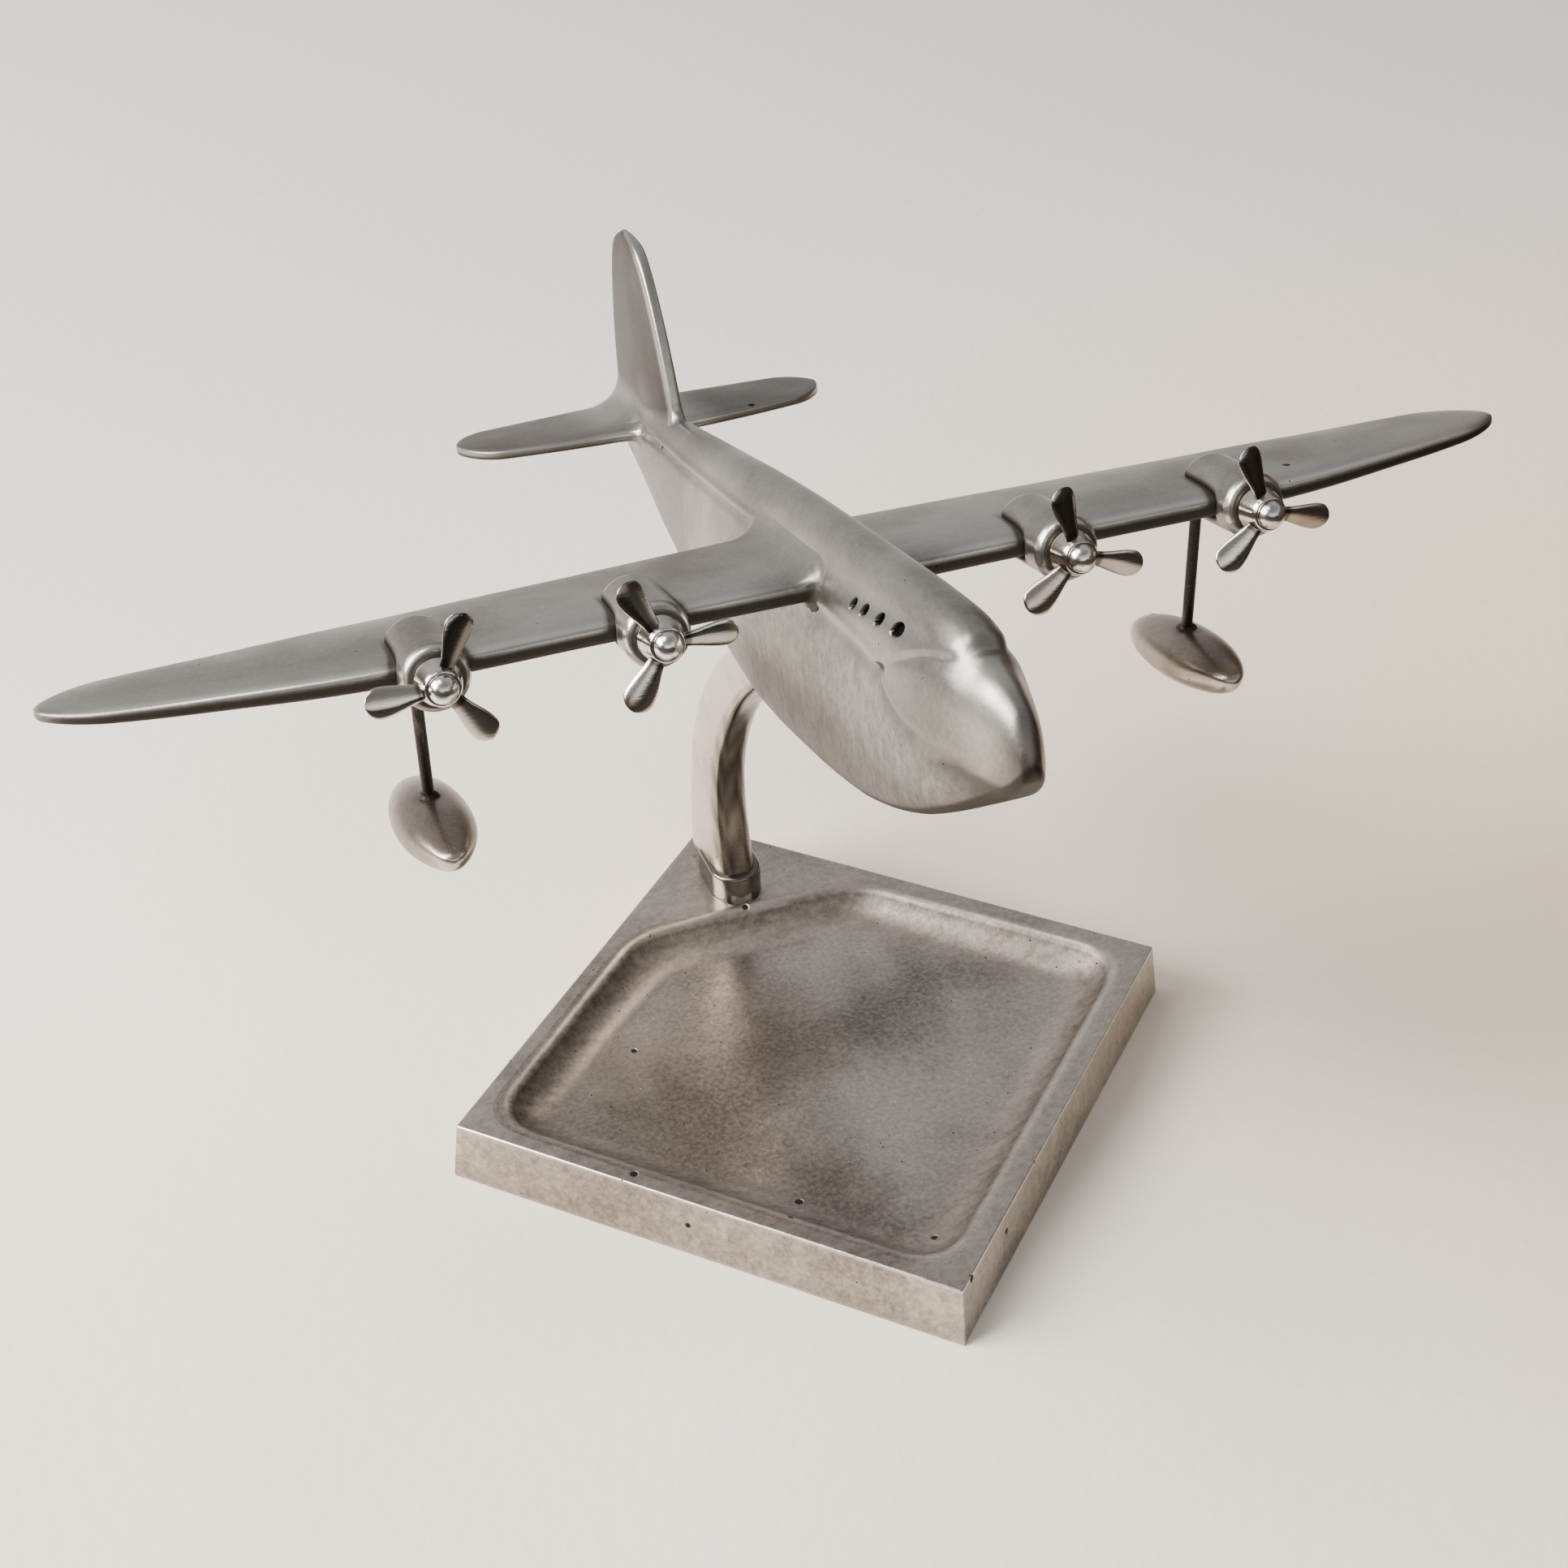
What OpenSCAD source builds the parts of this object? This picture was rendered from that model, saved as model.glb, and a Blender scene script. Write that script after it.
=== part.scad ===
// Four-engined model seaplane on a curved arm over a square dished stand.
// Row frame: origin at the middle of the underside of the base, X along the span,
// the nose towards -Y, +Z up. The base stands with one corner pointing forward.

/* [Stand] */
// side of the square base along its top edge
base_side = 115; // [110:1:130]
// height of the base
base_height = 13.9; // [12:0.1:18]
// how far each side of the base leans out from its top edge to its foot
base_lean = 1.2; // [0:0.1:3]
// width of the flat rim round the dish
rim_width = 3.2; // [2:0.1:5]
// depth of the dish
dish_depth = 6; // [4.5:0.1:8]
// width of the flat land behind the dish, from its straight edge to the base's rear corner
rear_land = 32.3; // [30:0.1:35]
// width of the arm at its foot
arm_foot_width = 11.4; // [10:0.1:13]
// width of the arm where it meets the hull
arm_top_width = 9.4; // [8:0.1:10]
// length of the arm's foot, front to rear
arm_foot_length = 26; // [24:0.5:28]
// thickness of the arm's upper end, front to rear
arm_top_depth = 10.5; // [9:0.1:12]

/* [Aircraft] */
// span of the wing from tip to tip
span = 291.6; // [280:0.1:300]
// how far the aircraft is tilted nose up
pitch = 13.9; // [12:0.1:15]
// height of the inner propeller pins above the table
engine_height = 146.9; // [142:0.1:152]
// distance of the inner propeller pins in front of the middle of the base
engine_forward = 38.1; // [34:0.1:42]
// half the distance between the inner engines
inner_engine = 39.4; // [37:0.1:42]
// half the distance between the outer engines
outer_engine = 78.9; // [75:0.1:82]
// half the widest breadth of the hull
hull_half_width = 9.6; // [9:0.1:10.5]
// greatest thickness of the wing as a share of its chord
wing_thickness = 0.15; // [0.13:0.005:0.18]
// height of the fin above the line of the propeller pins
fin_height = 44.2; // [40:0.1:48]
// half the span of the tailplane
tail_half_span = 43.2; // [40:0.1:46]

/* [Engines] */
// diameter of a nacelle
nacelle_diameter = 12.8; // [12:0.1:14]
// diameter of the round boss of a propeller at its rear, beside the nacelle
boss_diameter = 8.8; // [8:0.1:9.4]
// diameter of the boss at its front, under the pin's head
boss_front_diameter = 6.6; // [6.2:0.1:7.6]
// diameter of the circle that the blade tips sweep
propeller_diameter = 27.2; // [25:0.1:29]
// greatest width of a blade
blade_width = 5.6; // [4.6:0.1:6.2]
// diameter of the shank of a propeller pin
pin_diameter = 2.8; // [2.4:0.1:3.2]
// diameter of the domed head of a propeller pin
pin_head_diameter = 5.4; // [5:0.1:6]

/* [Floats] */
// diameter of a float strut
strut_diameter = 2.3; // [2:0.1:2.8]
// height of the propeller pins above the middle of the floats
float_drop = 47.9; // [44:0.1:52]
// length of a float
float_length = 42; // [38:0.5:46]
// breadth of a float
float_width = 15; // [13:0.1:17]
// height of a float
float_height = 10.8; // [10:0.1:12]

/* [Hidden] */
$fn = 64;
seat = 0.3;
running_gap = 0.05;
end_gap = 0.2;

cast_metal = [0.62, 0.60, 0.57];
bright_metal = [0.78, 0.78, 0.78];
dark_steel = [0.16, 0.15, 0.14];

// Shared helpers: smooth curves through hand-set stations, and a closed skin through rings

// value at s of the piecewise linear curve through [station, value] pairs
function along(s, pairs) = lookup(s, pairs);
// signed power, used for superellipses
function power(v, e) = sign(v) * pow(abs(v), e);

module skin(rings) {
    count = len(rings[0]);
    last = len(rings) - 1;
    sides = [for (i = [0 : last - 1]) for (j = [0 : count - 1])
        let (k = (j + 1) % count, a = i * count, b = (i + 1) * count)
        each [[a + j, b + k, b + j], [a + j, a + k, b + k]]];
    caps = [[for (j = [count - 1 : -1 : 0]) j], [for (j = [0 : count - 1]) last * count + j]];
    polyhedron([for (ring = rings) each ring], concat(sides, caps), convexity = 8);
}

// Places its children in the tilted frame of the aircraft: x along the span, y aft of the
// inner propeller pins, z up, square to the line of the pins
module aircraft() {
    translate([0, -engine_forward, engine_height])
        rotate([-pitch, 0, 0])
            children();
}

// Lines of the hull, in the aircraft's frame: [distance aft of the inner propeller pins, height or
// share of the widest breadth]
hull_top = [[-65.3, -7.4], [-64.5, -5], [-62, -0.4], [-57, 2.6], [-52, 5], [-45, 9],
    [-38, 10.6], [-20, 11.3], [30, 11], [60, 9.9], [90, 8.3], [120, 6.7], [145, 5.2], [170, 3.2]];
hull_keel = [[-65.3, -10.2], [-64.5, -11.4], [-60, -15.3], [-50, -20.3], [-40, -24.8],
    [-30, -28.8], [-15, -33.2], [0, -36], [20, -37.4], [40, -37.5], [56, -36.8], [64, -35.2],
    [84, -31], [100, -27.2], [115, -22.5], [130, -17.2], [150, -10.3], [170, -4.6]];
hull_width = [[-65.3, 0.1], [-64.5, 0.18], [-62, 0.34], [-58, 0.52], [-52, 0.73], [-45, 0.89],
    [-36, 0.98], [-25, 1], [40, 1], [62, 0.98], [82, 0.9], [105, 0.75], [130, 0.58],
    [150, 0.41], [170, 0.24]];
function keel(s) = along(s, hull_keel);

// Stand

half_side = base_side / 2;
// distance from the middle of the base to the straight rear edge of the dish
dish_rear = half_side * sqrt(2) - rear_land;
dish_corner = 12;
dish_rear_corner = 20;
lip_radius = 4;
cove_radius = 12;
dish_slope = acos(1 - dish_depth / (lip_radius + cove_radius));
foot_front = dish_rear + 0.6;
foot_middle = foot_front + arm_foot_length / 2;
screw_radius = 2.5;
screw_length = 20;
screw_head_radius = 4.6;
screw_head_height = 3;
screw_slot_width = 1;
screw_slot_depth = 1.2;
recess_radius = 6.5;
recess_depth = 5;
washer_thickness = 0.8;

// The dish's wall: [inset from the rim, depth] down a rounded lip and a cove
function dish_wall() = concat(
    [[-1, -1]],
    [for (i = [0 : 5]) let (t = dish_slope * i / 5)
        [lip_radius * sin(t), lip_radius * (1 - cos(t))]],
    [for (i = [5 : -1 : 0]) let (t = dish_slope * i / 6)
        [(lip_radius + cove_radius) * sin(dish_slope) - cove_radius * sin(t),
            dish_depth - cove_radius * (1 - cos(t))]]);

// The dish's outline at an inset: a square with one corner cut square to the diagonal,
// in the base's own frame, where the cut corner is at [-, +]
function dish_corners(inset) = let (e = half_side - rim_width - inset,
        cut = (dish_rear - inset) * sqrt(2))
    [[e, -e], [e, e], [-e + (2 * e - cut), e], [-e, e - (2 * e - cut)], [-e, -e]];

function rounded(points, radii, steps = 6) = [for (i = [0 : len(points) - 1])
    let (n = len(points), p = points[i],
        u = points[(i + n - 1) % n] - p, v = points[(i + 1) % n] - p,
        du = u / norm(u), dv = v / norm(v),
        turn = acos(du * dv), reach = radii[i] / tan(turn / 2))
    for (k = [0 : steps]) let (t = k / steps)
        p + du * reach * pow(1 - t, 2) + dv * reach * pow(t, 2)];

module dish() {
    corners = [dish_corner, dish_corner, dish_rear_corner, dish_rear_corner, dish_corner];
    skin([for (step = dish_wall()) [for (p = rounded(dish_corners(step[0]),
        corners - [for (c = corners) 0.4 * step[0]])) [p[0], p[1], base_height - step[1]]]]);
}

module base_block() {
    foot = half_side + base_lean;
    skin([for (level = [[0, foot], [base_height, half_side]])
        [for (c = [[1, -1], [-1, -1], [-1, 1], [1, 1]])
            [c[0] * level[1], c[1] * level[1], level[0]]]]);
}

module base() {
    color(cast_metal) difference() {
        rotate([0, 0, -45]) difference() {
            base_block();
            dish();
        }
        translate([0, foot_middle, -1]) {
            cylinder(r = recess_radius, h = recess_depth + 1);
            cylinder(r = screw_radius + running_gap, h = base_height + 2);
        }
    }
}

module arm_screw() {
    head_top = recess_depth - washer_thickness;
    color(dark_steel) translate([0, foot_middle, head_top]) {
        cylinder(r = screw_radius, h = screw_length - recess_depth);
        difference() {
            translate([0, 0, -screw_head_height])
                cylinder(r = screw_head_radius, h = screw_head_height);
            translate([-screw_head_radius, -screw_slot_width / 2, -screw_head_height - 1])
                cube([2 * screw_head_radius, screw_slot_width, screw_slot_depth + 1]);
        }
    }
}

module arm_washer() {
    color(dark_steel) translate([0, foot_middle, recess_depth - washer_thickness])
        difference() {
            cylinder(r = recess_radius - 0.4, h = washer_thickness);
            translate([0, 0, -1])
                cylinder(r = screw_radius + running_gap, h = washer_thickness + 2);
        }
}

// Arm: a curved blade that stands on the rear land, thick at its foot, leans forward and
// ends flat against the belly of the hull

pad_aft = 72;
function pad_point(aft, up) = [aft * cos(pitch) + up * sin(pitch) - engine_forward,
    engine_height - aft * sin(pitch) + up * cos(pitch)];
pad = pad_point(pad_aft, keel(pad_aft));
arm_start = [foot_middle, base_height];
arm_path = [arm_start, arm_start + [8, 26], [foot_middle + 2, pad[1] - 30], pad + [0, seat]];
toe_radius = 6;
toe_length = 9;
toe_height = 6.5;
stud_radius = 2;
stud_length = 16;

function bezier(p, t) = pow(1 - t, 3) * p[0] + 3 * t * pow(1 - t, 2) * p[1]
    + 3 * t * t * (1 - t) * p[2] + pow(t, 3) * p[3];
function arm_direction(t) = let (d = bezier(arm_path, min(t + 0.01, 1))
    - bezier(arm_path, max(t - 0.01, 0))) d / norm(d);
function arm_depth(t) = arm_top_depth + (arm_foot_length - arm_top_depth)
    * pow(1 - t, 1.3) * (1 - 0.12 * sin(180 * t));
function arm_half_width(t) = arm_top_width / 2
    + (arm_foot_width - arm_top_width) / 2 * pow(1 - t, 3);
// flat-sided section with a rounded front and rear, [across, along the depth] from -1 to 1
function blade_section(count) = [for (j = [0 : count - 1]) let (a = 360 * j / count)
    [power(cos(a), 0.5), power(sin(a), 0.8)]];
keel_slope = atan2(keel(pad_aft + 8) - keel(pad_aft - 8), 16);
// angle of the arm's rear face above the level: upright at the foot, square to the arm's run
// half way up, and along the keel at the top, so that the end lies flat on the hull
function arm_turn(t) = let (d = arm_direction(t), run = atan2(d[0], d[1]),
        low = smooth(t / 0.3) * run, high = smooth((t - 0.7) / 0.3))
    low + high * (keel_slope - pitch - low);
function arm_ring(t) = let (c = bezier(arm_path, t), turn = arm_turn(t),
        d = arm_direction(t), stretch = 1 / max(0.6, cos(turn - atan2(d[0], d[1]))))
    [for (s = blade_section(28)) let (e = s[1] * arm_depth(t) / 2 * stretch)
        [-s[0] * arm_half_width(t), c[0] + e * cos(turn), c[1] - e * sin(turn)]];
function smooth(t) = let (c = max(0, min(1, t))) c * c * (3 - 2 * c);

module arm() {
    color(bright_metal) difference() {
        union() {
            skin([for (i = [0 : 24]) arm_ring(i / 24)]);
            arm_toe();
        }
        translate([0, foot_middle, base_height - 1])
            cylinder(r = screw_radius, h = screw_length - base_height + 5);
        hull_stud_space();
    }
}

// the foot's round-nosed toe stands a little proud of the blade above it
module arm_toe() {
    translate([0, foot_front + toe_radius, base_height]) {
        cylinder(r = toe_radius, h = toe_height);
        translate([-toe_radius, 0, 0]) cube([2 * toe_radius, toe_length, toe_height]);
    }
}

module hull_stud_space() {
    direction = arm_direction(0.97);
    translate([0, pad[0], pad[1]])
        rotate([-atan2(direction[0], direction[1]), 0, 0])
            translate([0, 0, -stud_length / 2])
                cylinder(r = stud_radius, h = stud_length);
}

module hull_stud() {
    color(dark_steel) hull_stud_space();
}

// Airframe: hull, wing, fin and tailplane in one casting

// the sections are superellipses, rounded above and nearly flat-sided below
upper_power = 0.84;
lower_power = 0.4;
top_taper = 0.14;
// height of the widest level as a share of the hull's depth
hull_middle = [[-66, 0.5], [-50, 0.42], [100, 0.42], [170, 0.5]];
// a soft valley runs across the bow below the windscreen and sweeps back to the shoulders
crease_depth = 1;
crease_reach = 4;
function crease(x) = -49 + 45 * pow(x / hull_half_width, 4.6);
function hull_ring(s) = let (w = hull_half_width * along(s, hull_width),
        top = along(s, hull_top), bottom = keel(s),
        middle = bottom + (top - bottom) * along(s, hull_middle))
    [for (j = [0 : 31]) let (a = 360 * j / 32, upper = sin(a) > 0,
            e = upper ? upper_power : lower_power,
            h = upper ? top - middle : middle - bottom,
            x = w * power(cos(a), e) * (upper ? 1 - top_taper * sin(a) : 1),
            dent = upper ? crease_depth * sin(a)
                * exp(-pow((s - crease(abs(x))) / crease_reach, 2)) : 0)
        [x * (1 - dent / hull_half_width), s, middle + h * power(sin(a), e) - dent * sin(a)]];

module hull_shape() {
    skin([for (s = concat([-65.3, -64.8, -64, -62.8, -61], [for (k = [-59 : 3 : -14]) k],
        [for (k = [-10 : 6 : 170]) k]))
        hull_ring(s)]);
}

// half the thickness of a blunt-nosed section at a share of its chord, 0.5 at most: the smaller
// the first power, the squarer its nose, and the smaller the second, the fuller its rear
function section_half(c, powers) = let (most = powers[0] / (powers[0] + powers[1]))
    0.5 * pow(c / most, powers[0]) * pow((1 - c) / (1 - most), powers[1]);
// closed outline [share of chord, height] of a section
function section(thick, edge, powers, count) = concat(
    [for (i = [count : -1 : 1]) let (c = 1 - cos(90 * i / count))
        [c, -thick * section_half(c, powers) - edge / 2 * c]],
    [for (i = [0 : count]) let (c = 1 - cos(90 * i / count))
        [c, thick * section_half(c, powers) + edge / 2 * c]]);
// how far a fillet of a given radius stands out at a distance from the face it meets
function fillet(distance, radius) = let (u = max(0, min(1, 1 - distance / radius)))
    radius * (1 - sqrt(1 - u * u));

half_span = span / 2;
wing_front = 12.5;
wing_rear = 51;
wing_rear_taper = 8;
tip_length = 13;
wing_powers = [0.25, 0.75];
edge_thickness = 1;
// the leading edge sweeps back from here out to the tip, by this much
sweep_start = 80;
tip_sweep = 14;
root_fillet = 5.5;
root_start = hull_half_width - 2.5;

function wing_lead(x) = wing_front
    + tip_sweep * pow(max(x - sweep_start, 0) / (half_span - sweep_start), 1.5);
function wing_trail(x) = wing_rear - wing_rear_taper * x / half_span;
function tip_share(x) = let (u = max(0, (x - half_span + tip_length) / tip_length))
    sqrt(max(0.0025, 1 - u * u));
function wing_ring(x) = let (d = abs(x), flare = fillet(d - root_start, root_fillet),
        lead = wing_lead(d), trail = wing_trail(d), share = tip_share(d),
        middle = lead + 0.45 * (trail - lead), chord = (trail - lead) * share + 2 * flare,
        front = middle - 0.45 * (trail - lead) * share - flare,
        thick = wing_thickness * (trail - lead) * (0.6 + 0.4 * share) + 0.8 * flare)
    [for (p = section(thick, edge_thickness, wing_powers, 10)) [x, front + p[0] * chord, p[1]]];

wing_steps = [0, 0.047, 0.05, 0.054, 0.06, 0.067, 0.076, 0.088, 0.25, 0.45, 0.6, 0.68, 0.76, 0.84, 0.9,
    0.93, 0.955, 0.975, 0.99, 0.998];
module wing_shape() {
    skin([for (x = concat([for (i = [len(wing_steps) - 1 : -1 : 1]) -wing_steps[i]], wing_steps))
        wing_ring(x * half_span)]);
}

tail_thickness = 3.2;
tail_front = 141;
tail_rear = 172.5;
tail_sweep = 6;
tail_taper = 5;
tail_fillet = 5;
tail_edge = 0.8;
slab_powers = [0.18, 0.5];
function tail_ring(x) = let (d = abs(x), u = d / tail_half_span,
        tip = max(0, (u - 0.8) / 0.2), share = sqrt(max(0.004, 1 - tip * tip)),
        flare = fillet(d - tail_fillet / 2, tail_fillet),
        lead = tail_front + tail_sweep * u * u, trail = tail_rear - tail_taper * u,
        middle = (lead + trail) / 2, chord = (trail - lead) * share + flare,
        thick = tail_thickness * (0.6 + 0.4 * share) * (1 - 0.2 * u) + flare)
    [for (p = section(thick, tail_edge, slab_powers, 7)) [x, middle + (p[0] - 0.5) * chord, p[1]]];
tail_steps = [0, 0.06, 0.09, 0.12, 0.18, 0.4, 0.6, 0.8, 0.88, 0.94, 0.98, 1];
module tailplane_shape() {
    skin([for (x = concat([for (i = [len(tail_steps) - 1 : -1 : 1]) -tail_steps[i]], tail_steps))
        tail_ring(x * tail_half_span)]);
}

fin_thickness = 4.2;
fin_fillet = 8;
// the fin's outline is drawn at this height and stretched to its real one
fin_drawn = 44.2;
fin_lead = [[0, 121], [8, 122.5], [20, 126], [33, 131.5], [39, 135.5], [42, 139],
    [fin_drawn, 146]];
fin_trail = [[0, 171], [9, 170.5], [19, 168.5], [33, 163.5], [39, 160], [42, 156.5],
    [fin_drawn, 150]];
fin_steps = [0, 0.02, 0.05, 0.09, 0.14, 0.22, 0.4, 0.6, 0.76, 0.86, 0.92, 0.96, 0.985, 1];
function fin_ring(u) = let (z = u * fin_height, level = u * fin_drawn,
        lead = along(level, fin_lead), trail = along(level, fin_trail),
        flare = fillet(z - 1.5, fin_fillet), top = max(0, (u - 0.9) / 0.1),
        thick = fin_thickness * (1 - 0.25 * u) * sqrt(max(0.04, 1 - top * top)) + flare)
    [for (p = section(thick, tail_edge, slab_powers, 7)) [-p[1], lead + p[0] * (trail - lead), z]];
module fin_shape() {
    skin([for (u = fin_steps) fin_ring(u)]);
}

// four small windows a side, each a slot that leans forward; the foremost is the largest
window_aft = [-26.8, -18.6, -11.3, -5.8];
function window_height(a) = 2.4 - 0.065 * a;
window_bottom = 5.2;
window_radius = [1.3, 0.85, 0.8, 0.75];
window_length = [4.6, 3.6, 3.4, 3.2];
window_lean = [60, 42, 42, 42];
module windows() {
    for (i = [0 : len(window_aft) - 1])
        for (side = [0, 1]) mirror([side, 0, 0])
            translate([window_bottom, window_aft[i], window_height(window_aft[i])])
                rotate([0, 90, 0]) rotate([0, 0, 90 + window_lean[i]])
                    linear_extrude(hull_half_width) window(window_radius[i], window_length[i]);
}
module window(radius, length) {
    half = length / 2 - radius;
    for (end = [-1, 1]) translate([0, end * half]) circle(radius);
    square([2 * radius, 2 * half], center = true);
}

// the strut stands upright, so its hole in the wing is upright too
strut_forward = 7.3;
strut_out = outer_engine + 0.3;
strut_top = engine_height - 7.9;
float_middle = engine_height - float_drop;
float_forward = 0.7;
strut_foot = float_middle + 1;
module strut_space(side) {
    translate([side * strut_out, -strut_forward, strut_foot])
        cylinder(d = strut_diameter, h = strut_top - strut_foot);
}

module airframe() {
    color(cast_metal) difference() {
        aircraft() union() {
            difference() {
                hull_shape();
                windows();
            }
            wing_shape();
            tailplane_shape();
            fin_shape();
        }
        hull_stud_space();
        for (side = [-1, 1]) strut_space(side);
    }
}

// Engines

// numbered from the port side, which is +X: [along the span, aft of the inner pins]
outer_setback = 1.9;
engine_place = [[outer_engine, outer_setback], [inner_engine, 0], [-inner_engine, 0],
    [-outer_engine, outer_setback]];
blade_angle = [-14, -10, -27, 26];
head_height = 2.3;
boss_start = 0.4;
boss_length = 5;
nacelle_start = boss_start + boss_length + end_gap;
nacelle_length = 22.2;
front_round = 1.5;
rear_round = 4.5;
nacelle_radius = nacelle_diameter / 2;
pin_radius = pin_diameter / 2;
pin_depth = 7;

// outline of a nacelle along its axis: [radius, distance from its front face]
function nacelle_outline() = concat([[0, 0]],
    [for (i = [0 : 4]) let (a = 90 * i / 4)
        [nacelle_radius - front_round * (1 - sin(a)) - 0.3 * (1 - i / 4),
            front_round * (1 - cos(a))]],
    [for (i = [0 : 8]) let (a = 90 * i / 8)
        [nacelle_radius - rear_round * (1 - cos(a)), nacelle_length - rear_round * (1 - sin(a))]],
    [[0, nacelle_length]]);

// turns a shape that stands up z so that it runs aft from a chosen engine's pin
module at_engine(i) {
    translate([engine_place[i][0], engine_place[i][1], 0])
        rotate([-90, 0, 0])
            children();
}

// the slot that takes the wing: the wing's own section at the nacelle, run straight across it
module wing_slot(x) {
    half = nacelle_radius + 1;
    translate([x - half, 0, 0]) rotate([90, 0, 90])
        linear_extrude(2 * half) polygon([for (p = wing_ring(x)) [p[1], p[2]]]);
}

module nacelle(i) {
    color(cast_metal) aircraft() difference() {
        at_engine(i) translate([0, 0, nacelle_start]) rotate_extrude()
            polygon(nacelle_outline());
        wing_slot(engine_place[i][0]);
        at_engine(i) cylinder(r = pin_radius, h = nacelle_start + pin_depth);
    }
}

module propeller_pin(i) {
    dome = (pow(pin_head_diameter / 2, 2) + head_height * head_height) / (2 * head_height);
    color(bright_metal) aircraft() at_engine(i) union() {
        intersection() {
            translate([0, 0, dome + boss_start - end_gap - head_height]) sphere(dome);
            translate([0, 0, boss_start - end_gap - head_height])
                cylinder(d = pin_head_diameter, h = head_height);
        }
        translate([0, 0, boss_start - end_gap - 0.01])
            cylinder(r = pin_radius, h = nacelle_start + pin_depth - boss_start + end_gap);
    }
}

// a blade grows from a narrow root inside the boss to a wide rounded tip, slightly dished, with
// its pitch easing from root to tip
blade_root = 3;
blade_root_share = 0.55;
blade_thickness = 1.5;
blade_place = boss_start + 0.35 * boss_length;
root_pitch = 26;
tip_pitch = 14;
function blade_ring(u) = let (r = blade_root + u * (propeller_diameter / 2 - blade_root),
        tip = max(0, (u - 0.75) / 0.25), share = sqrt(max(0.02, 1 - tip * tip)),
        wide = (blade_root_share + (1 - blade_root_share) * smooth(u / 0.75)) * blade_width * share,
        thick = blade_thickness * (1 - u / 3) * (0.4 + 0.6 * share),
        turn = (root_pitch - tip_pitch) * u - root_pitch)
    [for (j = [0 : 15]) let (a = 360 * j / 16,
            x = cos(a) * wide / 2, y = sin(a) * thick / 2 + 0.06 * x * x)
        [x * cos(turn) - y * sin(turn), r, x * sin(turn) + y * cos(turn)]];
blade_steps = [0, 0.15, 0.3, 0.45, 0.6, 0.75, 0.83, 0.9, 0.95, 0.98, 1];

module blade() {
    translate([0, 0, blade_place])
        skin([for (u = blade_steps) blade_ring(u)]);
}

module propeller(i) {
    color(bright_metal) aircraft() at_engine(i) difference() {
        union() {
            translate([0, 0, boss_start])
                cylinder(d1 = boss_front_diameter, d2 = boss_diameter, h = boss_length);
            for (k = [0 : 2]) rotate([0, 0, 180 + blade_angle[i] + 120 * k]) blade();
        }
        translate([0, 0, boss_start - 1])
            cylinder(r = pin_radius + running_gap, h = boss_length + 2);
    }
}

// Floats

function float_ring(u) = let (s = -1 + 2 * u, body = sqrt(max(0.0004, 1 - s * s)),
        front = smooth((0.35 - u) / 0.35))
    [for (j = [0 : 23]) let (a = 360 * j / 24)
        [float_width / 2 * body * cos(a) * (1 - 0.18 * front * (1 - sin(a)) / 2),
            s * float_length / 2,
            float_height / 2 * body * sin(a) * (1 - 0.15 * front * sin(a))]];
float_steps = [0, 0.01, 0.03, 0.06, 0.1, 0.16, 0.23, 0.31, 0.4, 0.5, 0.6, 0.69, 0.77, 0.84,
    0.9, 0.94, 0.97, 0.99, 1];

module float_piece(side) {
    color(cast_metal) difference() {
        translate([side * strut_out, -strut_forward - float_forward, float_middle])
            rotate([-pitch, 0, 0])
                skin([for (u = float_steps) float_ring(u)]);
        strut_space(side);
    }
}

module strut(side) {
    color(dark_steel) strut_space(side);
}

collar_height = 1.6;
collar_radius = 2.1;
module strut_collar(side) {
    color(dark_steel) difference() {
        translate([side * strut_out, -strut_forward, float_middle + float_height / 2 - 0.5])
            cylinder(r = collar_radius, h = collar_height);
        strut_space(side);
    }
}

base();
arm();
arm_screw();
arm_washer();
hull_stud();
airframe();
nacelle(0);  // nacelle_1
nacelle(1);  // nacelle_2
nacelle(2);  // nacelle_3
nacelle(3);  // nacelle_4
propeller(0);  // propeller_1
propeller(1);  // propeller_2
propeller(2);  // propeller_3
propeller(3);  // propeller_4
propeller_pin(0);  // propeller_pin_1
propeller_pin(1);  // propeller_pin_2
propeller_pin(2);  // propeller_pin_3
propeller_pin(3);  // propeller_pin_4
strut(-1);  // strut_starboard
strut(1);  // strut_port
strut_collar(-1);  // strut_collar_starboard
strut_collar(1);  // strut_collar_port
float_piece(-1);  // float_starboard
float_piece(1);  // float_port
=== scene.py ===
import math

import bpy
import numpy as np
from mathutils import Matrix


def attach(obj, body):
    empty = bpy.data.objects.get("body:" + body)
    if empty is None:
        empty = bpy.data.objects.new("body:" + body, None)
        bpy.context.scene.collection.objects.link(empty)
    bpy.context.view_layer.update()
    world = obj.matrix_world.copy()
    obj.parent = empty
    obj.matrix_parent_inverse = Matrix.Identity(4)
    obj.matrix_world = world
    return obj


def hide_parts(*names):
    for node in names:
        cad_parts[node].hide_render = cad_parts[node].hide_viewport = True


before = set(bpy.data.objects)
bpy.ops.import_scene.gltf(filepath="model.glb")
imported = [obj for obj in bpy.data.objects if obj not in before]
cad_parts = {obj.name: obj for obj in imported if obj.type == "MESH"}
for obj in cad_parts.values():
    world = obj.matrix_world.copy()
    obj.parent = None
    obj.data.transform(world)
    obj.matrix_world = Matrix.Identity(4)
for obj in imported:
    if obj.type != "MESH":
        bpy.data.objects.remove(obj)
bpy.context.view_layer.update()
fixed_body = "stand_and_aircraft"

# Base
# A square sand-cast block of light alloy with a shallow dish let into its top. Its rim and sides
# are filed flat, its edges barely broken, and it stands with one corner forward. A recess in the
# underside takes the head of the screw that holds the arm.

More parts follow.
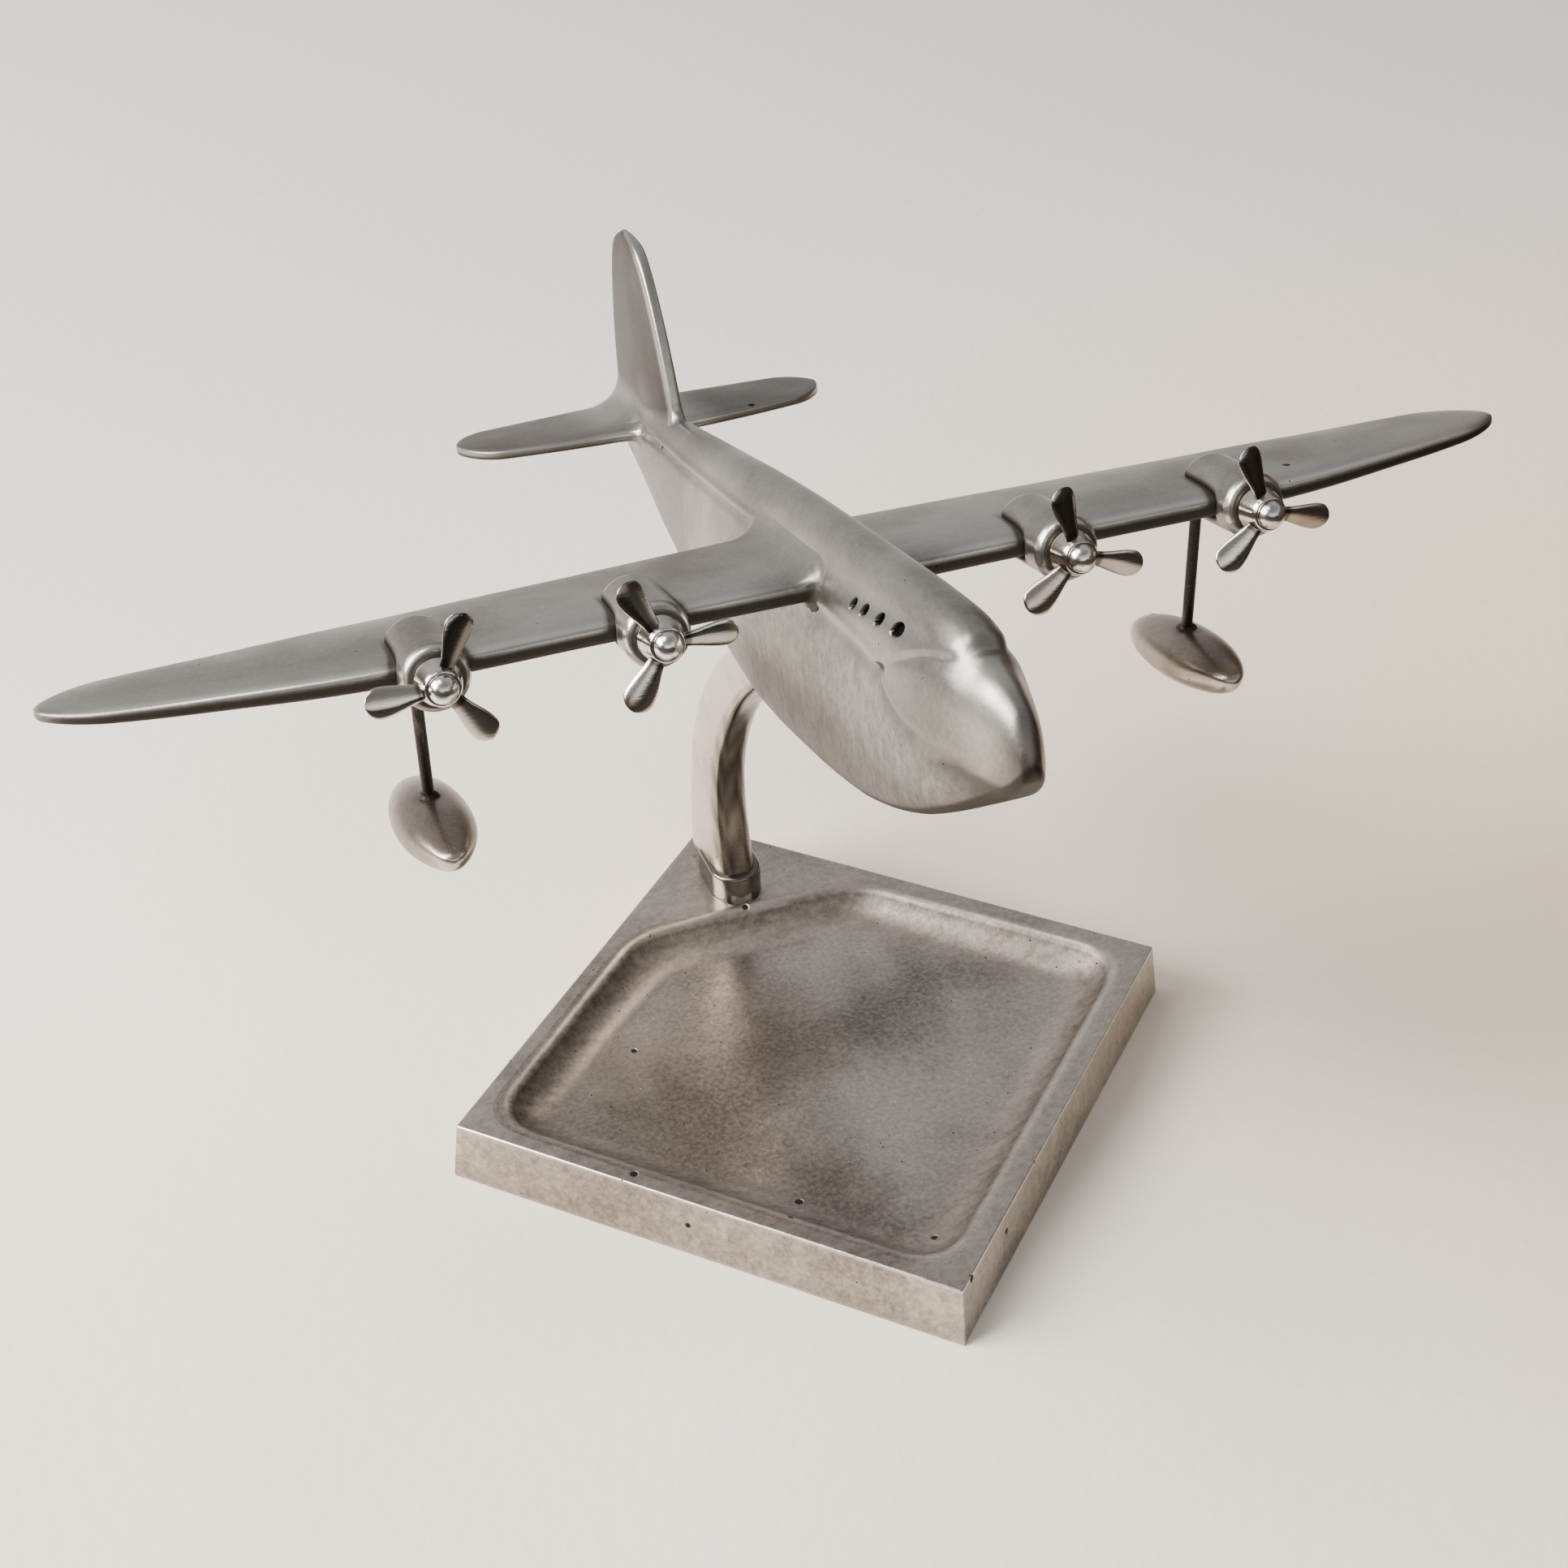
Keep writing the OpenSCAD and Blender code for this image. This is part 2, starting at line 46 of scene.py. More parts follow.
base_side = 115.0
base_height = 13.9
base_lean = 1.2
rim_width = 3.2
dish_depth = 6.0
rear_land = 32.3
lip_radius = 4.0
cove_radius = 12.0
edge_break = 0.35
dish_corner = 12
dish_rear_corner = 20
square_corner = 0.4
no_corner = 0.01
corner_points = 14
side_points = 12
cove_grime = 0.65
floor_wave = 34.0
floor_wave_height = 0.16
half_side = base_side / 2
dish_rear = half_side * math.sqrt(2) - rear_land
foot_front = dish_rear + 0.6
foot_middle = foot_front + 13.0
screw_hole = 2.55
recess_radius = 6.5
recess_depth = 5.0


class Wire:
    """A shader socket: arithmetic on it adds the Math nodes that work it out."""

    def __init__(self, shader, socket):
        self.shader = shader
        self.socket = socket

    def math(self, operation, first, second):
        sockets = {0: first, 1: second}
        return self.shader.node("ShaderNodeMath", {"operation": operation}, sockets)

    def __add__(self, other):
        return self.math("ADD", self, other)

    def __radd__(self, other):
        return self.math("ADD", other, self)

    def __sub__(self, other):
        return self.math("SUBTRACT", self, other)

    def __rsub__(self, other):
        return self.math("SUBTRACT", other, self)

    def __mul__(self, other):
        return self.math("MULTIPLY", self, other)

    def __rmul__(self, other):
        return self.math("MULTIPLY", other, self)


class Shader:
    """The nodes of a material or of the world, with one method that adds any node."""

    def __init__(self, owner):
        self.owner = owner
        owner.use_nodes = True
        self.tree = owner.node_tree
        self.tree.nodes.clear()

    def node(self, kind, settings=None, sockets=None, output=0):
        """A node of this kind with its settings, a ramp's stops among them, and with a value or
        a link for each socket named. It gives the output with this number."""
        made = self.tree.nodes.new(kind)
        for key, value in (settings or {}).items():
            if key == "stops":
                stops = made.color_ramp.elements
                for index, (place, colour) in enumerate(value):
                    stop = stops[index] if index < len(stops) else stops.new(place)
                    stop.position = place
                    stop.color = (*colour, 1.0)
            else:
                setattr(made, key, value)
        for key, value in (sockets or {}).items():
            if isinstance(value, Wire):
                self.tree.links.new(value.socket, made.inputs[key])
            else:
                made.inputs[key].default_value = value
        return Wire(self, made.outputs[output])

    def place(self, scale=(1.0, 1.0, 1.0), turn=(0.0, 0.0, 0.0)):
        """The piece's own coordinates in metres, stretched and turned."""
        own = self.node("ShaderNodeTexCoord", output=3)
        return self.node("ShaderNodeMapping", {}, {0: own, "Rotation": turn, "Scale": scale})

    def noise(self, vector, scale, detail=3.0, roughness=0.5):
        """Cloudy noise from 0 to 1, scale lumps to a unit of the vector."""
        return self.node("ShaderNodeTexNoise", {}, {"Vector": vector, "Scale": scale,
                         "Detail": detail, "Roughness": roughness})

    def step(self, value, low, high, start=0.0, end=1.0):
        """Smooth step of a value from start to end while it goes from low to high."""
        return self.node("ShaderNodeMapRange", {"interpolation_type": "SMOOTHSTEP"},
                         {0: value, 1: low, 2: high, 3: start, 4: end})

    def blend(self, share, first, second):
        """Colour that goes from the first to the second as share goes from 0 to 1."""
        settings = {"data_type": "RGBA", "blend_type": "MIX"}
        first = first if isinstance(first, Wire) else (*first, 1.0)
        second = second if isinstance(second, Wire) else (*second, 1.0)
        return self.node("ShaderNodeMix", settings, {0: share, 6: first, 7: second}, 2)

    def axis(self, vector, number):
        """One coordinate of a vector, counted from 0."""
        return self.node("ShaderNodeSeparateXYZ", {}, {0: vector}, number)

    def mark(self, name):
        """A number that the mesh carries at each point."""
        return self.node("ShaderNodeAttribute", {"attribute_name": name}, output=2)

    def pits(self, scale, size, share):
        """Small round pits: 1 at the seed of some cells of a cell pattern, 0 outside them."""
        cells = {"Vector": self.place(), "Scale": scale, "Randomness": 1.0}
        distance = self.node("ShaderNodeTexVoronoi", {}, cells, 0)
        chance = self.node("ShaderNodeTexVoronoi", {}, cells, 1)
        red = self.node("ShaderNodeSeparateColor", {}, {0: chance})
        near = 1 - self.step(distance, size * 0.6, size)
        return near * self.step(red, 1.0 - share, 1.0 - share + 0.02)

    def finish(self, colour, roughness, bump, depth, **constants):
        """Metal with these varying inputs; bump is a height, depth its size in metres."""
        sockets = {"Strength": 1.0, "Distance": depth, "Height": bump}
        normal = self.node("ShaderNodeBump", {}, sockets)
        sockets = {"Base Color": colour, "Roughness": roughness, "Normal": normal}
        sockets.update(constants)
        surface = self.node("ShaderNodeBsdfPrincipled", {}, sockets)
        output = self.tree.nodes.new("ShaderNodeOutputMaterial")
        self.tree.links.new(surface.socket, output.inputs[0])
        return self.owner


worn_and_highlit_tone = (0.86, 0.83, 0.78)
grime_tone = (0.05, 0.042, 0.034)
pit_tone = (0.03, 0.025, 0.02)
hollow_tone = (0.008, 0.008, 0.008)


def cast_alloy(name, light, dark, roughness, mottle, pitting, cloud=38.0):
    """Filed and hand-polished sand casting: cloudy tone, fine speckle, black pits and faint file
    marks. The mesh's marks make it bright where it is worn and as painted highlight, dark as
    painted shade, grainy where it is left as cast, and black in painted windows and, as painted
    shade, in seams."""
    shader = Shader(bpy.data.materials.new(name))
    wear = shader.mark("wear")
    grime = shader.mark("grime")
    hollow = shader.mark("hollow")
    raw = shader.mark("raw")
    clouds = shader.step(shader.noise(shader.place(), cloud, 4.0, 0.5), 0.34, 0.68)
    streaks = shader.noise(shader.place((160.0, 160.0, 900.0), (0.5, 0.3, 0.8)), 1.0, 3.0)
    speckle = shader.noise(shader.place(), 900.0, 2.0, 0.7)
    grain = shader.noise(shader.place(), 2600.0, 2.0)
    pits = shader.pits(85.0, 0.09, pitting) + shader.pits(380.0, 0.1, pitting * 0.2)
    tone = 0.7 * clouds + mottle * speckle + 0.2 * streaks - 0.5 * mottle
    colour = shader.blend(tone, dark, light)
    coarse = shader.noise(shader.place(), 480.0, 5.0, 0.8)
    scored = shader.noise(shader.place((60.0, 420.0, 160.0), (0.5, 0.0, 0.2)), 1.0, 4.0, 0.65)
    cast_tone = 0.65 * shader.step(coarse, 0.38, 0.62) + 0.45 * shader.step(scored, 0.4, 0.65)
    colour = shader.blend(0.8 * raw, colour, shader.blend(cast_tone, dark, light))
    # Worn edges and painted highlights lighten the colour, and painted shade darkens it.
    colour = shader.blend(0.7 * wear, colour, worn_and_highlit_tone)
    colour = shader.blend(shader.step(grime, 0.05, 0.95, 0.0, 0.93), colour, grime_tone)
    colour = shader.blend(pits, colour, pit_tone)
    # Black in the painted windows, and painted shade in the nacelles' seams.
    colour = shader.blend(hollow, colour, hollow_tone)
    rough = roughness - 0.08 * clouds + 0.1 * streaks - 0.12 * wear + 0.2 * grime + 0.4 * pits
    rough = rough + 0.16 * raw + 0.6 * hollow
    height = 0.3 * grain + 0.16 * speckle + 0.3 * streaks - 4.0 * pits + 2.0 * raw * coarse
    return shader.finish(colour, rough, height, 0.00005, Metallic=0.96)


def bell(x, width, order=2):
    """1 at x = 0 and falling off smoothly to 0 on both sides, about a width away: the higher the
    order, the flatter its top and the steeper its flanks."""
    return np.exp(-(x / width) ** order)


def ripple(points, size, height):
    """Slow unevenness of a hand-finished surface: three crossed waves about size long."""
    x, y, z = np.moveaxis(np.asarray(points, float), -1, 0)
    k = 2 * math.pi / size
    waves = np.sin(k * (x + 0.6 * y - 0.3 * z) + 0.4) + np.sin(k * 0.7 * (y - 0.5 * x + z) + 2.1)
    return height * (waves + np.sin(k * 1.3 * (z + 0.4 * y + 0.7 * x) + 4.0)) / 3


def outline(corners, radii):
    """Closed outline with rounded corners: each is a parabola that starts and ends at radius /
    tan(half the corner's angle) from it, and even steps join it to the next."""
    corners = np.asarray(corners, float)
    before = np.roll(corners, 1, axis=0) - corners
    after = np.roll(corners, -1, axis=0) - corners
    before /= np.linalg.norm(before, axis=1, keepdims=True)
    after /= np.linalg.norm(after, axis=1, keepdims=True)
    half = 0.5 * np.arccos(np.clip((before * after).sum(1), -1, 1))
    reach = (np.asarray(radii) / np.tan(half))[:, None]
    t = np.linspace(0, 1, corner_points)[:, None, None]
    arcs = corners + before * reach * (1 - t) ** 2 + after * reach * t ** 2
    arcs = arcs.transpose(1, 0, 2)
    starts = np.roll(arcs[:, :1], -1, axis=0)
    s = np.linspace(0, 1, side_points + 2)[None, 1:-1, None]
    straights = arcs[:, -1:] * (1 - s) + starts * s
    return np.concatenate([arcs, straights], axis=1).reshape(-1, 2)


def skin(rings, tube=False, **marks):
    """Closed surface through rings of points, an array of rings x points x 3. A fan closes each
    end to the middle of its ring, or else, on a tube, the last ring joins the first. It is
    turned to face outwards, by its signed volume. Marks, from 0 to 1, are kept at its points."""
    rings = np.asarray(rings, float)
    rows, columns = rings.shape[:2]
    points = np.concatenate([rings.reshape(-1, 3), [rings[0].mean(0), rings[-1].mean(0)]])
    j = np.arange(columns)
    k = (j + 1) % columns
    here = np.arange(rows if tube else rows - 1)[:, None] * columns
    below = (here + columns) % (rows * columns)
    quads = np.stack([here + j, here + k, below + k, below + j], -1).reshape(-1, 4)
    first = np.full(columns, rows * columns)
    last = (rows - 1) * columns
    fans = np.concatenate([np.stack([first, k, j], -1),
                           np.stack([first + 1, last + j, last + k], -1)])
    if tube:
        points, fans = points[:-2], fans[:0]
    halves = np.concatenate([quads[:, :3], quads[:, [0, 2, 3]], fans])
    a, b, c = points[halves[:, 0]], points[halves[:, 1]], points[halves[:, 2]]
    if (a * np.cross(b, c)).sum() < 0:
        quads = quads[:, ::-1]
        fans = fans[:, ::-1]
    full = {}
    for name, values in marks.items():
        values = np.clip(np.broadcast_to(np.asarray(values, float), (rows, columns)), 0, 1)
        ends = [values[0].mean(), values[-1].mean()]
        full[name] = np.concatenate([values.reshape(-1), ends])[:len(points)]
    return points, quads, fans, full


def added(name, data):
    """A new object of the scene that shows this mesh, light or camera."""
    made = bpy.data.objects.new(name, data)
    bpy.context.scene.collection.objects.link(made)
    return made


def piece(name, skins, material, body, nodes, crease=38.0):
    """One object from several skins in millimetres. It rides on a body, stands for CAD nodes,
    and is shaded smooth but for edges sharper than crease degrees."""
    points, faces, start = [], [], 0
    marks = {"wear": [], "grime": [], "hollow": [], "raw": []}
    for part_points, quads, fans, given in skins:
        points.append(part_points)
        faces += (quads + start).tolist() + (fans + start).tolist()
        start += len(part_points)
        for mark, values in marks.items():
            values.append(given.get(mark, np.zeros(len(part_points))))
    mesh = bpy.data.meshes.new(name)
    mesh.from_pydata((np.concatenate(points) * 0.001).tolist(), [], faces)
    for mark, values in marks.items():
        layer = mesh.attributes.new(mark, "FLOAT", "POINT")
        layer.data.foreach_set("value", np.concatenate(values).astype(np.float32))
    mesh.shade_smooth()
    mesh.set_sharp_from_angle(angle=math.radians(crease))
    mesh.materials.append(material)
    made = added(name, mesh)
    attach(made, body)
    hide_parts(*nodes)


def dish_outline(inset):
    """Outline of the dish at an inset: a square with its rear corner cut across."""
    e = half_side - rim_width - inset
    cut = 2 * e - (dish_rear - inset) * math.sqrt(2)
    corners = [(e, -e), (e, e), (cut - e, e), (cut / 2 - e, e - cut / 2), (-e, e - cut), (-e, -e)]
    radii = [dish_corner, dish_corner, dish_rear_corner, no_corner, dish_rear_corner, dish_corner]
    return outline(corners, np.array(radii) - 0.4 * inset)


def block_outline(half):
    """The square block's outline, its points matched to those of the dish."""
    cut = 2 * (half_side - rim_width) - dish_rear * math.sqrt(2)
    corners = [(half, -half), (half, half), (cut - half, half), (-half, half),
               (-half, half - cut), (-half, -half)]
    radii = np.where([True, True, False, True, False, True], square_corner, no_corner)
    return outline(corners, radii)


def level(ring, height):
    """A flat ring at a height, turned from the base's own axes into the row frame."""
    u, v = ring[:, 0], ring[:, 1]
    return np.stack([(u + v) / math.sqrt(2), (v - u) / math.sqrt(2), np.full(len(u), height)], -1)


def base_skin():
    """Rings from the middle of the dish's floor out over its cove, lip and rim, down the sides
    and in under the block to the screw's recess and hole."""
    slope = math.acos(1 - dish_depth / (lip_radius + cove_radius))
    rings, wear, grime, raw = [], [], [], []

    def add(ring, worn_and_highlit=0.0, shade_share=0.0, unpolished=0.0):
        """Keeps a ring with how bright it is, worn and as painted highlight, how dark as painted
        shade, and how rough.
        """
        rings.append(ring)
        wear.append(worn_and_highlit)
        grime.append(shade_share)
        raw.append(unpolished)

    inner = (lip_radius + cove_radius) * math.sin(slope)
    floor_level = base_height - dish_depth
    for share in (0.12, 0.3, 0.5, 0.68, 0.82, 0.92):
        add(level(dish_outline(inner) * share, floor_level))
    # The cove darkens with painted shade as it steepens.
    for t in np.linspace(0, slope, 15):
        inset = inner - cove_radius * math.sin(t)
        add(level(dish_outline(inset), floor_level + cove_radius * (1 - math.cos(t))), 0.0,
            cove_grime * t / slope, t / slope)
    dish_rings = len(rings)
    # Over the lip the painted shade fades, and a faint brightening runs along it, partly worn and
    # partly painted highlight.
    for t in np.linspace(slope, 0, 10)[1:]:
        lift = base_height - lip_radius * (1 - math.cos(t))
        add(level(dish_outline(lip_radius * math.sin(t)), lift),
            0.25 * bell(t / slope - 0.45, 0.25), cove_grime * (t / slope) ** 2, t / slope)
    rim = dish_outline(0)
    edge = block_outline(half_side - edge_break)
    # The rim brightens towards its outer edge and the broken edge, partly worn and partly painted
    # highlight.
    for share in (0.06, 0.5, 0.94, 1.0):
        add(level(rim * (1 - share) + edge * share, base_height), 0.1 + 0.2 * (share == 1.0),
            0.0, 0.4)
    for t in (30, 60, 90):
        out = half_side - edge_break * (1 - math.sin(math.radians(t)))
        drop = edge_break * (1 - math.cos(math.radians(t)))
        add(level(block_outline(out), base_height - drop), 0.6)
    # The sides darken with painted shade towards the bottom, and so do the bottom edges and the
    # screw's recess.
    for share in (0.04, 0.35, 0.65, 0.94):
        out = half_side + base_lean * share
        drop = edge_break + (base_height - 2 * edge_break) * share
        add(level(block_outline(out), base_height - drop), 0.0, 0.15 + 0.2 * share ** 3, 0.5)
    for t in (0, 45, 90):
        out = half_side + base_lean - edge_break * (1 - math.cos(math.radians(t)))
        add(level(block_outline(out), edge_break * (1 - math.sin(math.radians(t)))), 0.3, 0.3)
    square = rings[-1][:, :2]
    centre = np.array([0.0, foot_middle])
    ways = square - centre
    ways /= np.linalg.norm(ways, axis=1, keepdims=True)
    for radius, height in ((recess_radius + edge_break, 0.0), (recess_radius, edge_break),
                           (recess_radius, recess_depth), (screw_hole, recess_depth),
                           (screw_hole, base_height - 0.5)):
        circle = centre + radius * ways
        add(np.concatenate([circle, np.full((len(circle), 1), height)], axis=1), 0.0, 0.5)
    rings = np.array(rings)
    sunk = np.clip((base_height - rings[:, :, 2]) / dish_depth, 0, 1) ** 6
    sunk = sunk * (np.arange(len(rings)) < dish_rings)[:, None]
    rings[:, :, 2] += sunk * ripple(rings, floor_wave, floor_wave_height)
    return skin(rings, wear=np.array(wear)[:, None], grime=np.array(grime)[:, None],
                raw=np.array(raw)[:, None])


dish_metal = cast_alloy("dish_metal", (0.64, 0.563, 0.498), (0.19, 0.163, 0.14), 0.25, 1.1, 1.0,
                        24.0)
piece("cast_base", [base_skin()], dish_metal, fixed_body, ["base"], 25.0)

# Arm screw and washer
# A slotted steel screw comes up through the base from below, over a plain washer, and holds the
# arm. A headless stud fixes the arm to the belly of the hull and is wholly hidden.


def plain_steel(name, colour, roughness):
    """Turned steel with fine rings left by the tool and a little dulling."""
    shader = Shader(bpy.data.materials.new(name))
    dull = shader.noise(shader.place(), 300.0, 4.0)
    fine = shader.noise(shader.place((400.0, 400.0, 4000.0)), 1.0, 2.0)
    tone = shader.blend(shader.step(dull, 0.35, 0.7), colour, tuple(0.6 * c for c in colour))
    return shader.finish(tone, roughness + 0.2 * dull, fine, 0.00003, Metallic=1.0)


screw_steel = plain_steel("screw_steel", (0.42, 0.4, 0.37), 0.28)
for hidden in ("arm_screw", "arm_washer", "hull_stud"):
    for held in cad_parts[hidden].material_slots:
        held.material = screw_steel

# Arm
# A polished casting, a flat-sided blade with rounded front and back. It stands on the land behind
# the dish on a round-nosed toe, leans forward as it rises and ends against the belly of the hull.

arm_foot_width = 11.4
arm_top_width = 9.4
arm_foot_length = 26.0
arm_top_depth = 10.5
toe_radius = 6.0
toe_length = 9.0
toe_height = 6.5
arm_foot_pull = (8, 26)
arm_top_pull = (2, 30)
pitch = math.radians(13.9)
engine_forward = 38.1
engine_height = 146.9
pad_aft = 72.0
hull_keel = [(-65.3, -10.2), (-64.5, -11.4), (-60, -15.3), (-50, -20.3), (-40, -24.8),
             (-30, -28.8), (-15, -33.2), (0, -36), (20, -37.4), (40, -37.5), (56, -36.8),
             (64, -35.2), (84, -31), (100, -27.2), (115, -22.5), (130, -17.2), (150, -10.3),
             (170, -4.6), (172.4, -4)]
pad_up, keel_before, keel_behind = np.interp([pad_aft, pad_aft - 8, pad_aft + 8],
                                             *np.array(hull_keel).T)
keel_slope = math.atan2(keel_behind - keel_before, 16)


def in_row(points):
    """Turns points from the aircraft's frame, x along the span, y aft of the inner propeller
    pins and z up from them, into the row frame: a pitch about X and a shift."""
    x, a, b = np.moveaxis(np.asarray(points, float), -1, 0)
    y = a * math.cos(pitch) + b * math.sin(pitch) - engine_forward
    z = engine_height - a * math.sin(pitch) + b * math.cos(pitch)
    return np.stack([x, y, z], -1)


def power(value, exponent):
    """Power of a value's size that keeps its sign, for superellipses."""
    return np.sign(value) * np.abs(value) ** exponent


def smooth(t):
    """Smooth step from 0 to 1 as t goes from 0 to 1."""
    t = np.clip(t, 0, 1)
    return t * t * (3 - 2 * t)


def around(count):
    """Angles once round, as one row."""
    return np.linspace(0, 2 * math.pi, count, endpoint=False)[None, :]


def arm_skin():
    """Blade sections carried along a cubic curve from the foot to the belly. Each is a
    superellipse, and they turn from level at the foot to the slope of the keel at the top."""
    pad = in_row([0, pad_aft, pad_up])[1:]
    start = np.array([foot_middle, base_height])
    path = [start, start + arm_foot_pull,
            np.array([foot_middle + arm_top_pull[0], pad[1] - arm_top_pull[1]]), pad + [0, 0.3]]
    t = np.linspace(0, 1, 90)[:, None]
    line = ((1 - t) ** 3 * path[0] + 3 * t * (1 - t) ** 2 * path[1]
            + 3 * t * t * (1 - t) * path[2] + t ** 3 * path[3])
    way = np.gradient(line, axis=0)
    run = np.arctan2(way[:, 0], way[:, 1])[:, None]
    low = smooth(t / 0.3) * run
    turn = low + smooth((t - 0.7) / 0.3) * (keel_slope - pitch - low)
    stretch = 1 / np.maximum(0.6, np.cos(turn - run))
    depth = arm_top_depth + (arm_foot_length - arm_top_depth) * (1 - t) ** 1.3 * (
        1 - 0.12 * np.sin(math.pi * t))
    half = arm_top_width / 2 + (arm_foot_width - arm_top_width) / 2 * (1 - t) ** 3
    a = around(72)
    across = power(np.cos(a), 0.5) * half
    deep = power(np.sin(a), 0.8) * depth / 2 * stretch
    y = line[:, :1] + deep * np.cos(turn)
    z = line[:, 1:] - deep * np.sin(turn)
    rings = np.stack([across, y, z], -1)
    rings[:, :, 0] += ripple(rings, 30.0, 0.08)
    edges = bell(np.abs(np.cos(a)) - 0.72, 0.16) + 0 * t
    # Painted shade where the arm meets the base and the hull, and a painted dark reflection in
    # streaks down its front.
    seam = bell(z - base_height, 0.7) + bell(1 - t, 0.03)
    front = smooth((-np.sin(a) - 0.55) / 0.25)
    streaked = 0.62 + 0.25 * np.sin(3 * rings[:, :, 0] + 0.25 * z) * np.sin(0.31 * z + 1)
    return skin(rings, wear=0.5 * edges, grime=0.8 * seam + front * streaked)


def toe_skin():
    """The toe's rounded outline carried up from the base, drawn in a little at its top edge."""
    a = np.linspace(math.pi, 2 * math.pi, 40)
    bow = np.stack([np.cos(a), np.sin(a)], -1) * toe_radius
    tail = np.array([[toe_radius, toe_length], [-toe_radius, toe_length]])
    plan = np.concatenate([bow, tail])
    rings, grime = [], []
    for height, inset in ((0, 0.25), (0.25, 0), (3, 0), (5.6, 0), (6.1, 0.1), (6.4, 0.4),
                          (toe_height, 0.9)):
        ring = plan * (1 - inset / toe_radius) + [0, foot_front + toe_radius]
        rings.append(np.concatenate([ring, np.full((len(ring), 1), base_height + height)], axis=1))
        # Painted shade where the toe meets the base, and a painted dark reflection over the rest
        # of it.
        grime.append(1.0 if height < 0.2 else 0.72)
    return skin(rings, grime=np.array(grime)[:, None])


def polished_alloy(name, light, dark, roughness, smear):
    """Buffed alloy that mirrors the room, with a warm bloom, fine scratches and a few pits."""
    shader = Shader(bpy.data.materials.new(name))
    wear = shader.mark("wear")
    grime = shader.mark("grime")
    bloom = shader.step(shader.noise(shader.place(), 60.0, 4.0, 0.6), 0.4, 0.72)
    scratches = shader.noise(shader.place((300.0, 2600.0, 2600.0), (0.2, 0.9, 0.4)), 1.0, 3.0)
    pits = shader.pits(260.0, 0.07, 0.3)
    colour = shader.blend(smear * bloom, light, dark)
    # Painted shade and painted dark reflection, from the mesh's mark, darken the colour.
    colour = shader.blend(shader.step(grime, 0.05, 1.0, 0.0, 0.9), colour, (0.05, 0.042, 0.035))
    colour = shader.blend(pits, colour, (0.05, 0.04, 0.03))
    rough = roughness + 0.08 * bloom + 0.08 * scratches - 0.05 * wear + 0.05 * grime
    height = 0.5 * scratches - 4.0 * pits
    return shader.finish(colour, rough, height, 0.00003, Metallic=1.0)


arm_metal = polished_alloy("arm_metal", (0.60, 0.54, 0.49), (0.36, 0.28, 0.21), 0.13, 0.7)
piece("polished_arm", [arm_skin(), toe_skin()], arm_metal, fixed_body, ["arm"],
      40.0)

# Airframe
# Hull, wing, fin and tailplane are one sand casting, filed and buffed by hand, with soft fillets
# where they meet. The nose is a broad dome in front of a creased windscreen, and four small
# windows are sunk in each side. All its lines are in the aircraft's own pitched frame.

hull_top = [(-65.3, -7.4), (-64.5, -5), (-62, -0.4), (-57, 2.6), (-52, 5), (-45, 9), (-38, 10.6),
            (-20, 11.3), (30, 11), (60, 9.9), (90, 8.3), (120, 6.7), (145, 5.2), (170, 3.2),
            (172.4, 2.9)]
hull_width = [(-65.3, 0.1), (-64.5, 0.18), (-62, 0.34), (-58, 0.52), (-52, 0.73), (-45, 0.89),
              (-36, 0.98), (-25, 1), (40, 1), (62, 0.98), (82, 0.9), (105, 0.75), (130, 0.58),
              (150, 0.41), (170, 0.24), (172.4, 0.2)]
shoulder = [(-62, -12.6), (-60, -12.2), (-55, -11.6), (-47, -10.2), (-34.5, -9.3), (-25, -7.2),
            (-20, -4.1), (-7, -2.9), (5, -2.6), (17, -1.8)]
middle_share = [(-66, 0.5), (-50, 0.42), (100, 0.42), (170, 0.5)]
hull_half_width = 9.6
nose = -65.3
tail_end = 172.4
end_round = 1.0
upper_power = 0.84
lower_power = 0.4
top_taper = 0.14
crease_depth = 1.0
crease_front = -49.0
crease_sweep = 45.0
shoulder_depth = 0.6
dent_aft = -20.5
dent_up = -4.1
rear_seam = 2.6
window_aft = (-26.8, -18.6, -11.3, -5.8)
window_half_width = (2.1, 1.4, 1.25, 1.1)
window_half_height = (1.5, 1.4, 1.35, 1.25)
window_lean = 0.95
window_depth = 1.3
window_line = 2.4
window_climb = 0.065
window_step = 0.22


def curve(s, table):
    """Smooth curve through [station, value] rows: a cubic between stations, whose slope at each
    is the harmonic mean of the slopes beside it, so that it never overshoots."""
    x, y = np.array(table, float).T
    gap = np.diff(x)
    slope = np.diff(y) / gap
    same = slope[:-1] * slope[1:] > 0
    total = np.where(same, slope[:-1] + slope[1:], 1.0)
    inner = np.where(same, 2 * slope[:-1] * slope[1:] / total, 0.0)
    m = np.concatenate([[slope[0]], inner, [slope[-1]]])
    i = np.clip(np.searchsorted(x, s) - 1, 0, len(gap) - 1)
    t = np.clip((s - x[i]) / gap[i], 0, 1)
    start = (2 * t ** 3 - 3 * t ** 2 + 1) * y[i] + (t ** 3 - 2 * t ** 2 + t) * gap[i] * m[i]
    return start + (3 * t ** 2 - 2 * t ** 3) * y[i + 1] + (t ** 3 - t ** 2) * gap[i] * m[i + 1]


def round_end(u, least=0.0):
    """Height of a quarter circle, 1 at u = 0 and 0 at u = 1, its square not under the least."""
    return np.sqrt(np.maximum(least, 1 - u * u))


